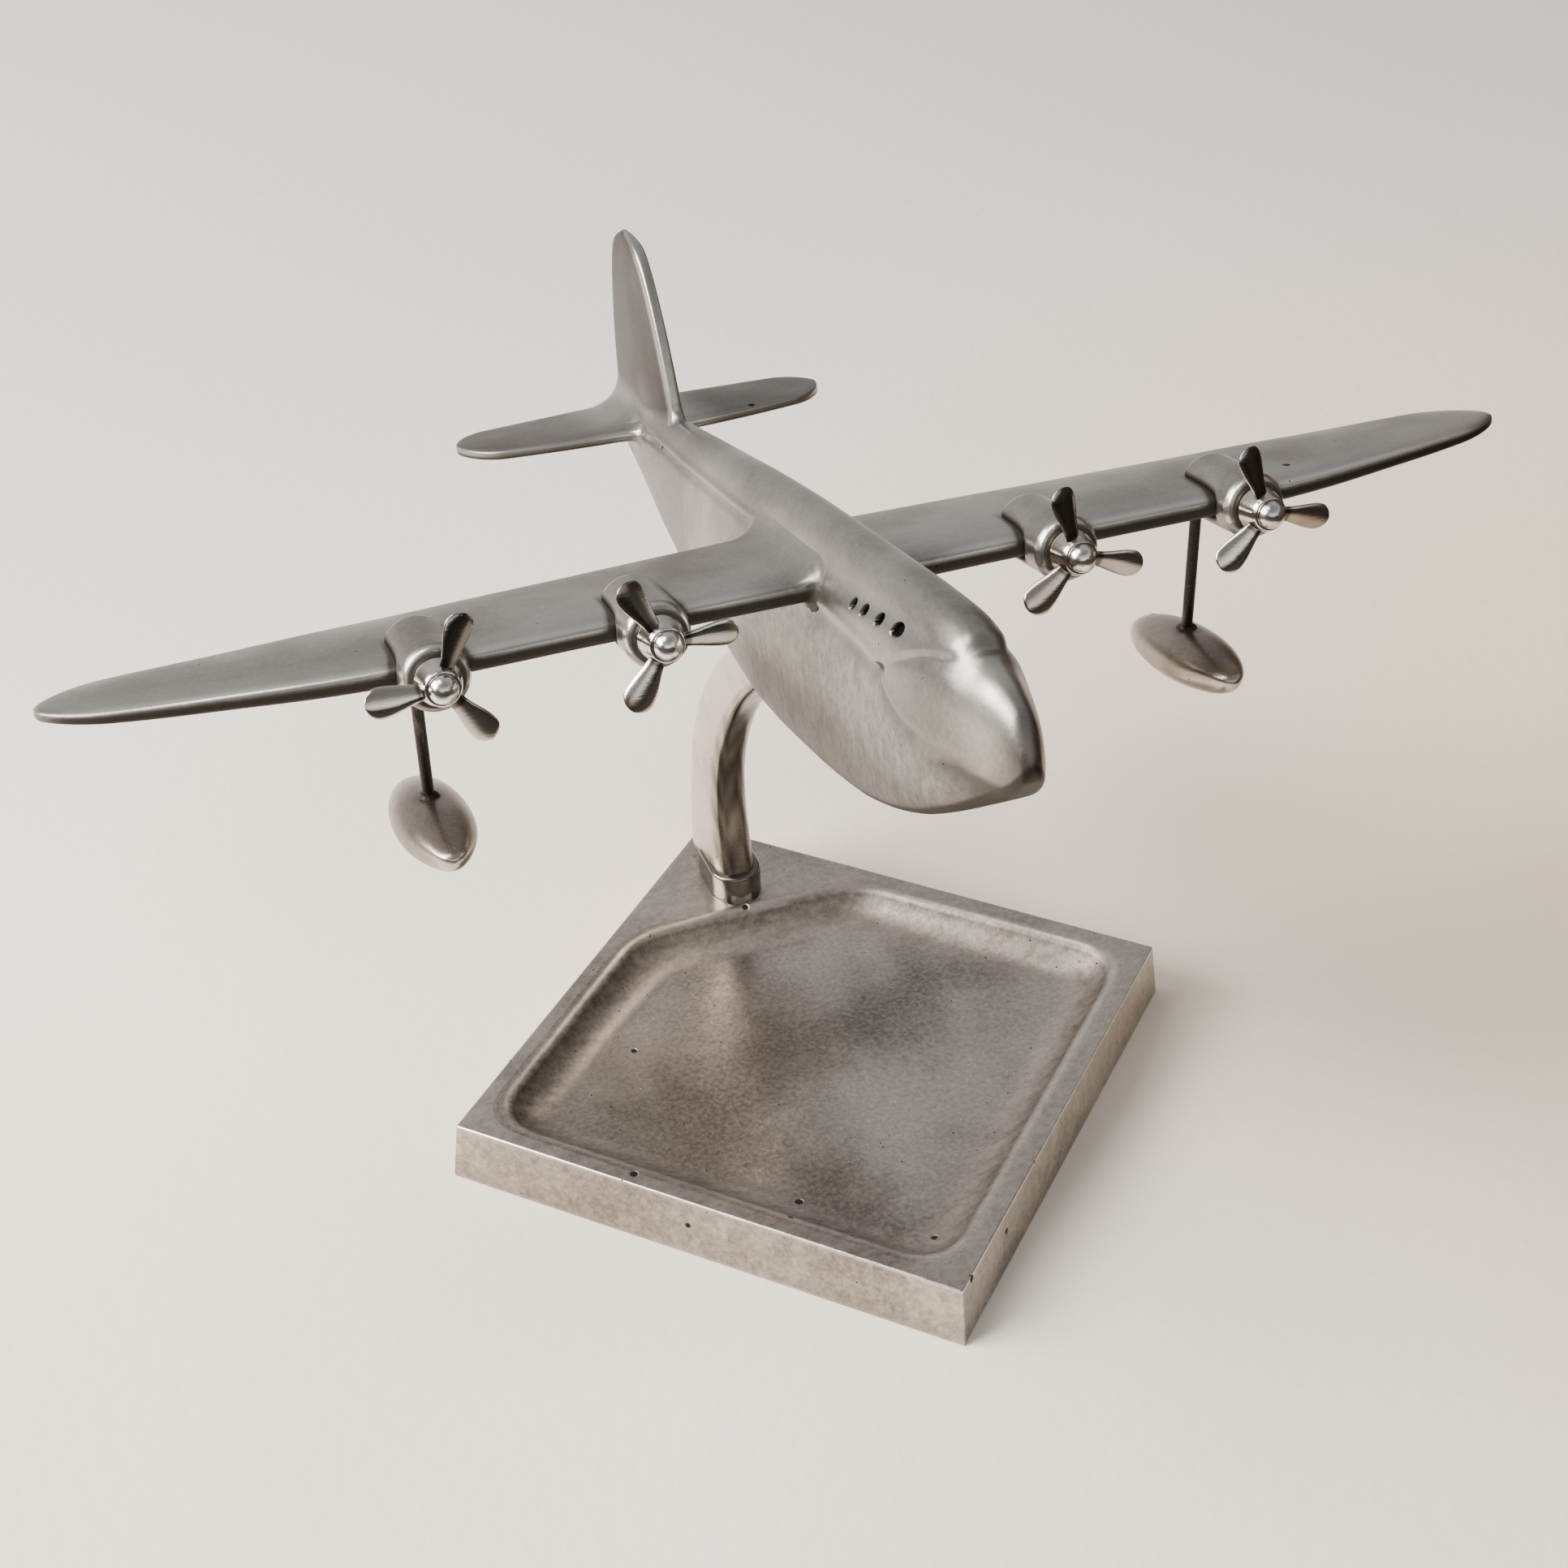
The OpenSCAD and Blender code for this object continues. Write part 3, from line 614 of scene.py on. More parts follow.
def hull_lines(s):
    """Half-breadth, and the heights of top, middle and keel, at a station. Both ends are rounded
    off over their last millimetre."""
    ahead = np.clip((nose + end_round - s) / end_round, 0, 1)
    aft = np.clip((s - tail_end + end_round) / end_round, 0, 1)
    blunt = round_end(ahead) * round_end(aft)
    top, bottom = curve(s, hull_top), curve(s, hull_keel)
    middle = bottom + (top - bottom) * curve(s, middle_share)
    wide = hull_half_width * curve(s, hull_width) * blunt
    return wide, middle + (top - middle) * blunt, middle, middle + (bottom - middle) * blunt


def valley(s, x):
    """Depth share of the crease below the windscreen, which sweeps back with the distance from
    the centre line: steep behind, on the windscreen, and long in front, on the nose."""
    behind = s - (crease_front + crease_sweep * (np.abs(x) / hull_half_width) ** 4.6)
    return bell(behind, np.where(behind > 0, 1.3, 4.5))


def hull_section(s, a):
    """Point of the hull at a station and an angle up from its side: one superellipse above and
    a squarer one below, less the crease."""
    wide, top, middle, bottom = hull_lines(s)
    rise = np.sin(a)
    above = rise > 0
    share = np.where(above, upper_power, lower_power)
    x = wide * power(np.cos(a), share) * np.where(above, 1 - top_taper * rise, 1)
    b = middle + np.where(above, top - middle, middle - bottom) * power(rise, share)
    dent = np.where(above, crease_depth * rise * valley(s, x), 0)
    return x * (1 - dent / hull_half_width), b - dent * rise, dent


def hull_side(s, b):
    """Half-breadth of the hull at a station and height, the inverse of its superellipses."""
    wide, top, middle, bottom = hull_lines(s)
    above = b > middle
    height = np.where(above, top - middle, middle - bottom)
    share = np.where(above, upper_power, lower_power)
    rise = np.clip(np.abs(b - middle) / np.maximum(height, 1e-6), 0, 1) ** (1 / share)
    flank = np.sqrt(1 - rise ** 2) ** share
    return wide * flank * np.where(above, 1 - top_taper * rise, 1)


def hull_roof(s, x):
    """Height of the hull's upper surface at a station and distance from the centre line, found
    by halving the angle's range."""
    wide, top, middle, _ = hull_lines(s)
    low = np.zeros_like(wide + x)
    high = low + math.pi / 2
    for _ in range(24):
        a = (low + high) / 2
        inside = wide * np.cos(a) ** upper_power * (1 - top_taper * np.sin(a)) > np.abs(x)
        low = np.where(inside, a, low)
        high = np.where(inside, high, a)
    return middle + (top - middle) * np.sin(low) ** upper_power


def seam_line(s, b):
    """Height above the casting seam on the rear hull, and how strongly the seam shows there."""
    above = b - rear_seam * (1 + 0.4 * smooth((120 - s) / 70))
    return above, smooth((s - 48) / 10) * smooth((160 - s) / 20)


def shoulder_line(s, b):
    """How far the hull's side stands out: a low ridge along the shoulder and a groove below it,
    which fade before the bow and under the wing, a faint casting seam on the rear hull, and a
    pit where the crease ends."""
    above = b - curve(s, shoulder)
    line = 0.2 * bell(above - 0.7, 1.1)
    line = line - shoulder_depth * bell(above + 1.6, np.where(above < -1.6, 2.6, 1.3))
    pit = bell(s - dent_aft, 2.3) * bell(b - dent_up, 0.9)
    seam, shown = seam_line(s, b)
    ridge = 0.3 * bell(seam, 0.7) - 0.25 * bell(seam + 1.6, 1.0)
    return line * smooth((s + 62) / 7) * smooth((15 - s) / 5) + ridge * shown - pit, pit


def window_height(s):
    """Height of the row of windows, which climbs a little towards the nose."""
    return window_line - window_climb * s


def hull_skin():
    """The hull on a grid of stations and angles, closer where the windows are sunk."""
    stations = [np.linspace(nose, nose + 1.2, 8), np.linspace(nose + 1.5, window_aft[0] - 4.2, 50),
                np.arange(window_aft[0] - 3.9, window_aft[-1] + 3.9, window_step),
                np.linspace(-1, 168, 84), np.linspace(169, tail_end, 10)]
    s = np.concatenate(stations)[:, None]
    side = np.concatenate([np.linspace(-90, 0, 32), np.linspace(1.5, 30, 20),
                           np.linspace(31, 52, 44), np.linspace(53, 90, 18)])
    a = np.radians(np.concatenate([side, 180 - side[-2:0:-1]]))[None, :]
    x, b, dent = hull_section(s, a)
    step, pit = shoulder_line(s, b)
    x = x + np.sign(x) * step * smooth(np.abs(x) / 3)
    hollow = np.zeros_like(x)
    for place, wide, high in zip(window_aft, window_half_width, window_half_height):
        up = b - window_height(place)
        from_middle = np.hypot((s - place + window_lean * up) / wide, up / high)
        hollow = np.maximum(hollow, smooth((1.1 - from_middle) / 0.2))
    x = x - np.sign(x) * window_depth * hollow
    rings = np.stack([x, s + 0 * x, b], -1)
    uneven = ripple(rings, 26.0, 0.1) * np.clip(np.abs(x) / 4, 0, 1)
    rings[:, :, 0] += np.sign(x) * uneven * (1 - hollow) * smooth((s - nose) / 8)
    # Painted shade where the arm's seat meets the keel, along the crease, in the groove below the
    # shoulder, in the pit where the crease ends, in the groove below the rear seam, under the
    # chin, towards the bottom of the sides and at the nose tip.
    keel = curve(s, hull_keel)
    seat = bell(s - pad_aft, 9, 4) * bell(b - keel, 1.2)
    line = smooth((dent / crease_depth - 0.86) / 0.12) * smooth((b + 6) / 4)
    under = b - curve(s, shoulder)
    raw = smooth((0.5 - under) / 6) * smooth((75 - s) / 30) * smooth((s + 62) / 12)
    below = np.where(under > -1.8, 1.6, 3.0 + 2.0 * smooth((-25 - s) / 30))
    streak = bell(under + 1.8, below) * smooth((15 - s) / 5)
    streak = streak * (1 + 0.6 * smooth((-25 - s) / 25))
    low = smooth((-12 - b) / 14)
    chin = smooth((keel + 2.5 - b) / 1.5) * smooth((20 - s) / 30)
    shade_mark = 0.6 * line + 0.35 * seat + 0.42 * streak + smooth((pit - 0.25) / 0.4)
    seam, shown = seam_line(s, b)
    shade_mark = shade_mark + 0.4 * shown * bell(seam + 1.3, 0.5)
    shade_mark = shade_mark + 0.7 * chin + 0.5 * low + 0.5 * bell(s - nose, 6)
    # A painted highlight on the nose deck.
    nose_highlight = 0.5 * bell(s + 54, 4.5) * np.clip(np.sin(a), 0, 1) ** 2
    return skin(in_row(rings), wear=nose_highlight, hollow=smooth((hollow - 0.02) / 0.2), grime=shade_mark,
                raw=raw)


def thickness(c, powers):
    """Half the thickness of a blunt-nosed section at a share of its chord, 0.5 at most: the
    smaller the first power, the squarer its nose, and the smaller the second, the fuller its
    rear."""
    most = powers[0] / (powers[0] + powers[1])
    front = (c / most) ** powers[0]
    return 0.5 * front * (np.clip(1 - c, 0, 1) / (1 - most)) ** powers[1]


def section(chord, thick, edge, powers, count=40):
    """Closed section loop for each row: [distance from the leading edge, height], up the lower
    side, over the top, and round a trailing edge that is half a circle."""
    c = 1 - np.cos(np.linspace(0, math.pi / 2, count))
    upper = thick * thickness(c, powers) + edge / 2 * c
    straight = (chord - edge / 2) * c
    a = np.radians(np.linspace(90, -90, 9))[None, 1:-1]
    along = np.concatenate([straight[:, ::-1], straight[:, 1:],
                            chord - edge / 2 + edge / 2 * np.cos(a)], axis=1)
    up = np.concatenate([-upper[:, ::-1], upper[:, 1:], upper[:, -1:] * np.sin(a)], axis=1)
    return along, up


def outward(first, second):
    """Outward normal of each closed loop of points, square to the chord between neighbours."""
    along = np.roll(first, -1, axis=-1) - np.roll(first, 1, axis=-1)
    up = np.roll(second, -1, axis=-1) - np.roll(second, 1, axis=-1)
    size = np.maximum(np.hypot(along, up), 1e-9)
    area = (first * np.roll(second, -1, axis=-1) - second * np.roll(first, -1, axis=-1)).sum(-1)
    turn = np.where(area > 0, 1.0, -1.0)[..., None]
    return turn * up / size, -turn * along / size


fillet_steps = 12
foot_sink = 0.05


def fillet(start, corner, end):
    """Parabolic fillet rings from points on one surface, by way of the corner where the surfaces
    would meet, to points on the other."""
    t = np.linspace(0, 1, fillet_steps)[:, None, None]
    return (1 - t) ** 2 * start + 2 * t * (1 - t) * corner + t ** 2 * end


def root_fillet(loop, least, most, rise=1.0, limit=np.inf):
    """Fillet from the hull's side to a section loop. Its radius goes from the least, in front
    and below, to the most above, its foot lies off the loop by that much and no further aft than
    the limit, and rise is the share of it that the foot goes up or down."""
    root = hull_side(loop[:, 1], loop[:, 2])
    normal_a, normal_b = outward(loop[:, 1], loop[:, 2])
    radius = least + (most - least) * np.clip(normal_b, 0, 1)
    corner = np.stack([root, loop[:, 1], loop[:, 2]], -1)
    foot_a = np.minimum(loop[:, 1] + radius * normal_a, limit)
    foot_b = loop[:, 2] + rise * radius * normal_b
    foot = np.stack([hull_side(foot_a, foot_b) - foot_sink, foot_a, foot_b], -1)
    return fillet(foot, corner, corner + radius[:, None] * [1, 0, 0])


span = 291.6
half_span = span / 2
wing_front = 12.5
wing_rear = 51.0
wing_rear_taper = 8.0
wing_thickness = 0.15
wing_powers = (0.25, 0.75)
wing_edge = 1.0
wing_root = 11.0
sweep_start = 80.0
tip_sweep = 14.0
tip_length = 13.0
root_radius = 5.5
root_front_radius = 2.0
inner_engine = 39.4
outer_engine = 78.9
nacelle_radius = 6.4


def towards_tip(count, short, start=0.0):
    """Shares from the start to a little short of 1 that crowd together near 1, as the sections
    of a rounded tip have to."""
    return np.sin(np.linspace(start, math.pi / 2 - short, count))


def wing_lead(x):
    """Leading edge: straight to the outer engines, then swept back to the tip."""
    out = np.clip(x - sweep_start, 0, None) / (half_span - sweep_start)
    return wing_front + tip_sweep * out ** 1.5


def wing_section(x):
    """Section loops of the wing at distances from the centre line, in the aircraft's frame."""
    x = np.asarray(x, float).reshape(-1, 1)
    lead = wing_lead(x)
    full = wing_rear - wing_rear_taper * x / half_span - lead
    u = np.clip((x - half_span + tip_length) / tip_length, 0, 1)
    share = round_end(u, 0.0025)
    end = round_end(np.clip(x - half_span + 1.3, 0, 1), 0.05)
    thick = wing_thickness * full * (0.6 + 0.4 * share) * end
    along, up = section(full * share, thick, wing_edge * np.maximum(share, 0.3), wing_powers)
    return np.stack([x + 0 * along, lead + 0.45 * full * (1 - share) + along, up], -1)


def wing_skin(side):
    """Half the wing: a fillet from the hull's side, then sections out to the tip."""
    loop = wing_section([wing_root])[0]
    root = hull_side(loop[:, 1], loop[:, 2])
    tip = half_span - tip_length * (1 - towards_tip(26, 0.03))
    seams = [engine + way * (nacelle_radius - 0.8 + out) for engine in (inner_engine, outer_engine)
             for way in (-1, 1) for out in (0, 0.35, 0.7, 1.1, 1.6, 2.3)]
    x = np.concatenate([[17, 20, 26], np.linspace(32, half_span - tip_length - 2, 54), tip])
    x = np.unique(np.concatenate([x, seams]))
    rings = np.concatenate([root_fillet(loop, root_front_radius, root_radius), wing_section(x)])
    rings[:, :, 2] += ripple(rings, 30.0, 0.07)
    rings[:, :, 0] = np.clip(rings[:, :, 0], None, half_span - 0.32) * side
    out, up = np.abs(rings[:, :, 0]), rings[:, :, 2]
    front = rings[:, :, 1] - wing_lead(out)
    # A painted highlight along the top of the leading edge.
    worn_and_highlit = 0.6 * bell(front - 0.4, 1.0) + 0.34 * bell(front, 6.5)
    worn_and_highlit = worn_and_highlit * smooth((up - 0.7) / 0.8) * smooth((out - 14) / 10)
    # Painted shade under the leading edge and the wing, in the crevice at the root and beside the
    # nacelles.
    under = smooth(1.0 - up)
    shade_mark = 0.8 * under * bell(np.maximum(front, 0), 3.0) + 0.3 * under
    shade_mark = shade_mark + 0.7 * bell(out - root[None, :] - 0.6, 0.7) * bell(front - 1, 3)
    for engine in (inner_engine, outer_engine):
        half = np.sqrt(nacelle_radius ** 2 - np.clip(up, -3, 3) ** 2)
        beside = np.maximum(np.abs(out - engine) - half, 0)
        shade_mark = shade_mark + 0.8 * bell(beside, 0.7) * bell(front, 14, 8)
        shade_mark = shade_mark + 0.8 * bell(beside, 2.0) * bell(front, 4)
    return skin(in_row(rings), wear=worn_and_highlit, grime=shade_mark, raw=0.6 * under)


tail_half_span = 43.2
tail_front = 141.0
tail_rear = 172.4
tail_sweep = 6.0
tail_taper = 5.0
tail_root = 4.0
tail_thickness = 3.2
tail_root_station = 4.0
tail_round = 0.8
slab_edge = 0.8
slab_powers = (0.18, 0.5)


def tail_plan(x):
    """Leading edge, chord and thickness of the tailplane at distances from the centre line."""
    u = np.abs(x) / tail_half_span
    share = round_end(np.clip((u - tail_round) / (1 - tail_round), 0, 1), 0.004)
    lead = tail_front + tail_sweep * u * u
    full = tail_rear - tail_taper * u - lead
    thick = tail_thickness * (0.6 + 0.4 * share) * (1 - 0.2 * u)
    return lead + full / 2 * (1 - share), full * share, thick


def tail_section(x):
    """Section loops of the tailplane, the same above and below."""
    x = np.asarray(x, float).reshape(-1, 1)
    lead, chord, thick = tail_plan(x)
    along, up = section(chord, thick, slab_edge, slab_powers, 30)
    return np.stack([x + 0 * along, lead + along, up], -1)


def tail_skin(side):
    """Half the tailplane, filleted into the hull's side."""
    loop = tail_section([tail_root_station])[0]
    root = root_fillet(loop, tail_root, tail_root, 0.6, tail_end - 0.6)
    tip = tail_half_span * (tail_round + (1 - tail_round) * towards_tip(18, 0.02))
    x = np.concatenate([np.linspace(9, tail_half_span * (tail_round - 0.01), 20), tip])
    rings = np.concatenate([root, tail_section(x)])
    rings[:, :, 0] *= side
    front = rings[:, :, 1] - tail_plan(np.abs(rings[:, :, 0]))[0]
    # A painted highlight along the top of the leading edge, and painted shade under it and over
    # the tailplane away from its root.
    under = smooth((0.1 - rings[:, :, 2]) / 0.7)
    worn_and_highlit = 0.6 * bell(front, 0.9) * (1 - under)
    shade_mark = 0.52 * smooth((np.abs(rings[:, :, 0]) - 4) / 14)
    shade_mark = shade_mark + 0.4 * under * bell(front, 2)
    return skin(in_row(rings), wear=worn_and_highlit, grime=shade_mark)


fin_height = 44.2
fin_thickness = 4.2
fin_foot = 9.0
fin_root = 7.0
fin_round = 0.9
fin_lead = [(0, 121), (8, 122.5), (20, 126), (33, 131.5), (39, 135.5), (42, 139), (44.2, 146)]
fin_trail = [(0, 171), (9, 170.5), (19, 168.5), (33, 163.5), (39, 160), (42, 156.5), (44.2, 150)]


def fin_section(z):
    """Section loops of the fin at heights above the line of the pins."""
    z = np.asarray(z, float).reshape(-1, 1)
    lead, trail = curve(z, fin_lead), curve(z, fin_trail)
    top = np.clip((z / fin_height - fin_round) / (1 - fin_round), 0, 1)
    thick = fin_thickness * (1 - 0.25 * z / fin_height) * round_end(top, 0.04)
    along, across = section(trail - lead, thick, slab_edge, slab_powers, 34)
    return np.stack([across, lead + along, z + 0 * along], -1)


def deck(x, a):
    """Height of what the fin stands on: the hull's roof, or the tailplane beside it."""
    lead, chord, thick = tail_plan(x)
    c = np.clip((a - lead) / chord, 0, 1)
    tail = thick * thickness(c, slab_powers) + slab_edge / 2 * c
    wide = hull_lines(a)[0]
    return np.where(np.abs(x) < 0.98 * wide, np.maximum(hull_roof(a, x), tail), tail)


def fin_skin():
    """The fin, filleted into the hull's narrow roof in front and the tailplane behind."""
    loop = fin_section([fin_foot])[0]
    normal_x, normal_a = outward(loop[:, 0], loop[:, 1])
    over_tail = smooth((loop[:, 1] - tail_front - 1) / 8)
    room = 0.8 * hull_lines(loop[:, 1])[0] - np.abs(loop[:, 0])
    radius = np.clip(room, 1.0, 4.0) * (1 - over_tail) + fin_root * over_tail
    base = deck(loop[:, 0], loop[:, 1])
    base = base + over_tail * (np.minimum(base, 2.4) - base)
    corner = np.stack([loop[:, 0], loop[:, 1], base], -1)
    outer = corner + radius[:, None] * [0, 0, 1]
    foot_x = loop[:, 0] + radius * normal_x
    foot_a = np.minimum(loop[:, 1] + radius * normal_a, tail_end - 1.2)
    foot = np.stack([foot_x, foot_a, deck(foot_x, foot_a) - foot_sink], -1)
    top = fin_height * (fin_round + (1 - fin_round) * towards_tip(16, 0.02))
    z = np.concatenate([np.linspace(15, fin_height * (fin_round - 0.01), 22), top])
    rings = np.concatenate([fillet(foot, corner, outer), fin_section(z)])
    lead = curve(np.clip(rings[:, :, 2], 0, fin_height), fin_lead)
    behind = rings[:, :, 1] - lead
    # A painted highlight on the leading edge, and painted shade over the sides behind it.
    return skin(in_row(rings), wear=0.3 * bell(behind, 1.6),
                grime=0.8 * smooth((behind - 0.8) / 2) * smooth((rings[:, :, 2] - 2) / 8))


airframe_metal = cast_alloy("airframe_metal", (0.34, 0.325, 0.305), (0.17, 0.158, 0.146), 0.34,
                            0.9, 0.28)
airframe_skins = [hull_skin(), fin_skin()]
for side in (-1, 1):
    airframe_skins += [wing_skin(side), tail_skin(side)]
piece("cast_airframe", airframe_skins, airframe_metal, fixed_body, ["airframe"],
      50.0)

# Engine nacelles
# Four small separate castings, each a barrel with a turned front edge and a rounded rear,
# slotted over the wing's leading edge. A painted highlight brightens the top of the front edge,
# and painted shade darkens the flat front and the seam where a nacelle meets the wing.

outer_setback = 1.9
engine_places = [(outer_engine, outer_setback), (inner_engine, 0.0), (-inner_engine, 0.0),
                 (-outer_engine, outer_setback)]
boss_start = 0.4
boss_length = 5.0
end_gap = 0.2
nacelle_start = boss_start + boss_length + end_gap
nacelle_length = 22.2
front_round = 1.5
rear_round = 4.5


def at_engine(points, number):
    """Turns points about an engine's axis, [across, distance aft of its pin, up], into the row."""
    across, aft = engine_places[number]
    return in_row(np.asarray(points) + [across, aft, 0])


def turned_profile(profile, count):
    """A profile of [radius, distance aft] rows carried once round an engine's axis."""
    profile = np.asarray(profile, float)
    a = around(count)
    radius, aft = profile[:, :1], profile[:, 1:]
    return np.stack([radius * np.cos(a), aft + 0 * a, radius * np.sin(a)], -1)


def arc(radius_at, aft_at, radius, start, end, count=8):
    """Part of a circle in a profile: [radius, distance aft] rows, angles in degrees."""
    a = np.radians(np.linspace(start, end, count))
    return np.stack([radius_at + radius * np.sin(a), aft_at - radius * np.cos(a)], -1)


def nacelle_skin(number):
    """The barrel's profile, its surface sunk a little where it meets the wing."""
    front = arc(nacelle_radius - 0.3 - front_round, front_round, front_round, 0, 80, 9)
    body = np.stack([np.linspace(nacelle_radius - 0.1, nacelle_radius, 50),
                     np.linspace(front_round + 0.2, nacelle_length - rear_round, 50)], -1)
    rear = arc(nacelle_radius - rear_round, nacelle_length - rear_round, rear_round, 90, 180, 14)
    profile = np.concatenate([[[0.4, 0], [2, 0], [4, 0]], front, body, rear[1:-1],
                              [[0.4, nacelle_length]]])
    rings = turned_profile(profile + [0, nacelle_start], 128)
    across, aft = engine_places[number]
    loop = wing_section([abs(across)])[0]
    c = rings[:, :, 1] + aft
    loop = loop[np.argsort(loop[:, 1])]
    upper, lower = loop[loop[:, 2] > 0.3], loop[loop[:, 2] <= 0.3]
    top = np.interp(c, upper[:, 1], upper[:, 2])
    bottom = np.interp(c, lower[:, 1], lower[:, 2])
    gap = np.where(rings[:, :, 2] > (top + bottom) / 2, rings[:, :, 2] - top,
                   bottom - rings[:, :, 2])
    ahead = np.maximum(loop[:, 1].min() - c, 0)
    gap = np.hypot(np.maximum(gap, 0), ahead)
    rings[:, :, [0, 2]] *= (1 - 0.05 * bell(gap, 0.7))[:, :, None]
    # A painted highlight on the upper front edge, and painted shade, black in the seam, on the
    # flat front and where the nacelle meets the wing.
    worn_and_highlit = bell(profile[:, 1] - 0.7, 0.6)[:, None] * (rings[:, :, 2] > -2)
    face = (profile[:, 1] < 0.1)[:, None] * 0.7
    return skin(at_engine(rings, number), wear=0.7 * worn_and_highlit, grime=1.2 * bell(gap, 1.3) + face,
                hollow=bell(gap, 0.8))


nacelle_metal = cast_alloy("nacelle_metal", (0.33, 0.312, 0.29), (0.15, 0.138, 0.124), 0.32, 0.9,
                           0.4)
for number in range(4):
    piece("cast_nacelle_%d" % (number + 1), [nacelle_skin(number)], nacelle_metal, fixed_body,
          ["nacelle_%d" % (number + 1)], 60.0)

# Propellers
# Each is a bright casting with a round boss and three paddle blades, flat in front and crowned
# behind, set at a pitch. It turns freely on its pin between the pin's head and the nacelle.

propeller_bodies = ("port_outer_propeller", "port_inner_propeller", "starboard_inner_propeller",
                    "starboard_outer_propeller")
blade_angle = (-14, -10, -27, 26)
# Share of painted dark reflection on each blade's faces, the first of them pointing up.
blade_dark_reflection = (0.8, 0.5, 0.0)
boss_radius = 4.4
boss_front_radius = 3.3
pin_radius = 1.4
propeller_radius = 13.6
blade_width = 5.6
blade_root = 3.0
blade_root_share = 0.55
blade_thickness = 1.5
blade_round = 0.75
blade_place = boss_start + 0.35 * boss_length
root_pitch = 26.0
tip_pitch = 14.0


def boss_skin(number):
    """The boss: a short barrel with rounded edges, bored for its pin."""
    end = boss_start + boss_length
    bore = pin_radius + 0.05
    profile = np.concatenate([
        [[bore, end - 0.2], [bore, boss_start + 0.2], [bore + 0.2, boss_start],
         [2.4, boss_start]],
        arc(boss_front_radius - 0.4, boss_start + 0.4, 0.4, 0, 75, 6),
        np.stack([boss_front_radius + (boss_radius - boss_front_radius)
                  * np.linspace(0.12, 0.97, 12) ** 0.85,
                  boss_start + boss_length * np.linspace(0.14, 0.86, 12)], -1),
        arc(boss_radius - 0.6, end - 0.6, 0.6, 95, 180),
        [[2.4, end], [bore + 0.2, end]]])
    return skin(at_engine(turned_profile(profile, 72), number), tube=True)


def blade_skin(number, turn, dark_reflection):
    """A paddle blade: narrow at the boss, widest near its round tip, flat-faced and twisted.
    Its faces are darkened by a share as painted dark reflection, its edges less, and painted
    shade darkens it next to the boss."""
    tip = blade_round + (1 - blade_round) * towards_tip(20, 0.03, 0.05)
    u = np.concatenate([np.linspace(0, blade_round, 22), tip])[:, None]
    share = round_end(np.clip((u - blade_round) / (1 - blade_round), 0, 1), 0.006)
    full = blade_root_share + (1 - blade_root_share) * smooth(u / blade_round)
    wide = full * blade_width * share
    thick = (blade_thickness - 0.5 * u) * (0.4 + 0.6 * share)
    a = around(40)
    x = power(np.cos(a), 0.8) * wide / 2
    y = np.sin(a) * thick / 2 * np.where(np.sin(a) > 0, 1.15, 0.75) + 0.06 * x * x
    twist = np.radians((root_pitch - tip_pitch) * u - root_pitch)
    out = blade_root + u * (propeller_radius - 0.1 - blade_root)
    across = x * np.cos(twist) - y * np.sin(twist)
    aft = blade_place + x * np.sin(twist) + y * np.cos(twist)
    turn = math.radians(turn)
    first = across * math.cos(turn) - out * math.sin(turn)
    second = across * math.sin(turn) + out * math.cos(turn)
    rings = np.stack([first, aft, -second], -1)
    edge = np.abs(np.cos(a)) ** 6 + 0 * u
    # Painted shade next to the boss, and the painted dark reflection on the faces.
    shade_mark = 0.8 * bell(out - boss_radius + 0.4, 0.6) + dark_reflection * (1 - 0.7 * edge)
    return skin(at_engine(rings, number), wear=edge, grime=shade_mark)


propeller_metal = polished_alloy("propeller_metal", (0.60, 0.575, 0.54), (0.34, 0.25, 0.18), 0.1,
                                 0.8)
for number in range(4):
    skins = [boss_skin(number)]
    for blade in range(3):
        skins.append(blade_skin(number, 180 + blade_angle[number] + 120 * blade,
                                blade_dark_reflection[blade]))
    piece("cast_propeller_%d" % (number + 1), skins, propeller_metal, propeller_bodies[number],
          ["propeller_%d" % (number + 1)], 45.0)

# Propeller pins
# A turned steel pin with a polished domed head, driven through each propeller's boss into its
# nacelle. A small flat is left on the dome by the lathe.

head_height = 2.3
head_radius = 2.7
pin_depth = 7.0


def pin_skin(number):
    """Dome, its underside and the shank, as one turned profile."""
    under = boss_start - end_gap
    dome = (head_radius ** 2 + head_height ** 2) / (2 * head_height)
    reach = math.degrees(math.asin(head_radius / dome))
    cap = arc(0, under - head_height + dome, dome, 5, reach - 3, 18)
    cap[0, 1] = cap[1, 1]
    foot = nacelle_start + pin_depth
    profile = np.concatenate([[[0.05, cap[0, 1]]], cap, [[head_radius, under - 0.25],
                              [head_radius - 0.12, under], [pin_radius + 0.1, under],
                              [pin_radius, under + 0.1], [pin_radius, foot], [0.05, foot]]])
    return skin(at_engine(turned_profile(profile, 64), number))


pin_metal = plain_steel("pin_metal", (0.80, 0.78, 0.75), 0.1)
for number in range(4):
    piece("domed_pin_%d" % (number + 1), [pin_skin(number)], pin_metal, fixed_body,
          ["propeller_pin_%d" % (number + 1)], 40.0)

# Floats and struts
# Each wing float is a small teardrop casting, keeled in front, hung under the wing on a blackened
# steel rod. A rough collar of solder holds the rod where it enters the float.

strut_out = outer_engine + 0.3
strut_forward = 7.3
strut_radius = 1.15
float_length = 42.0
float_width = 15.0
float_height = 10.8
float_forward = 0.7
float_middle = engine_height - 47.9
strut_top = engine_height - 7.9


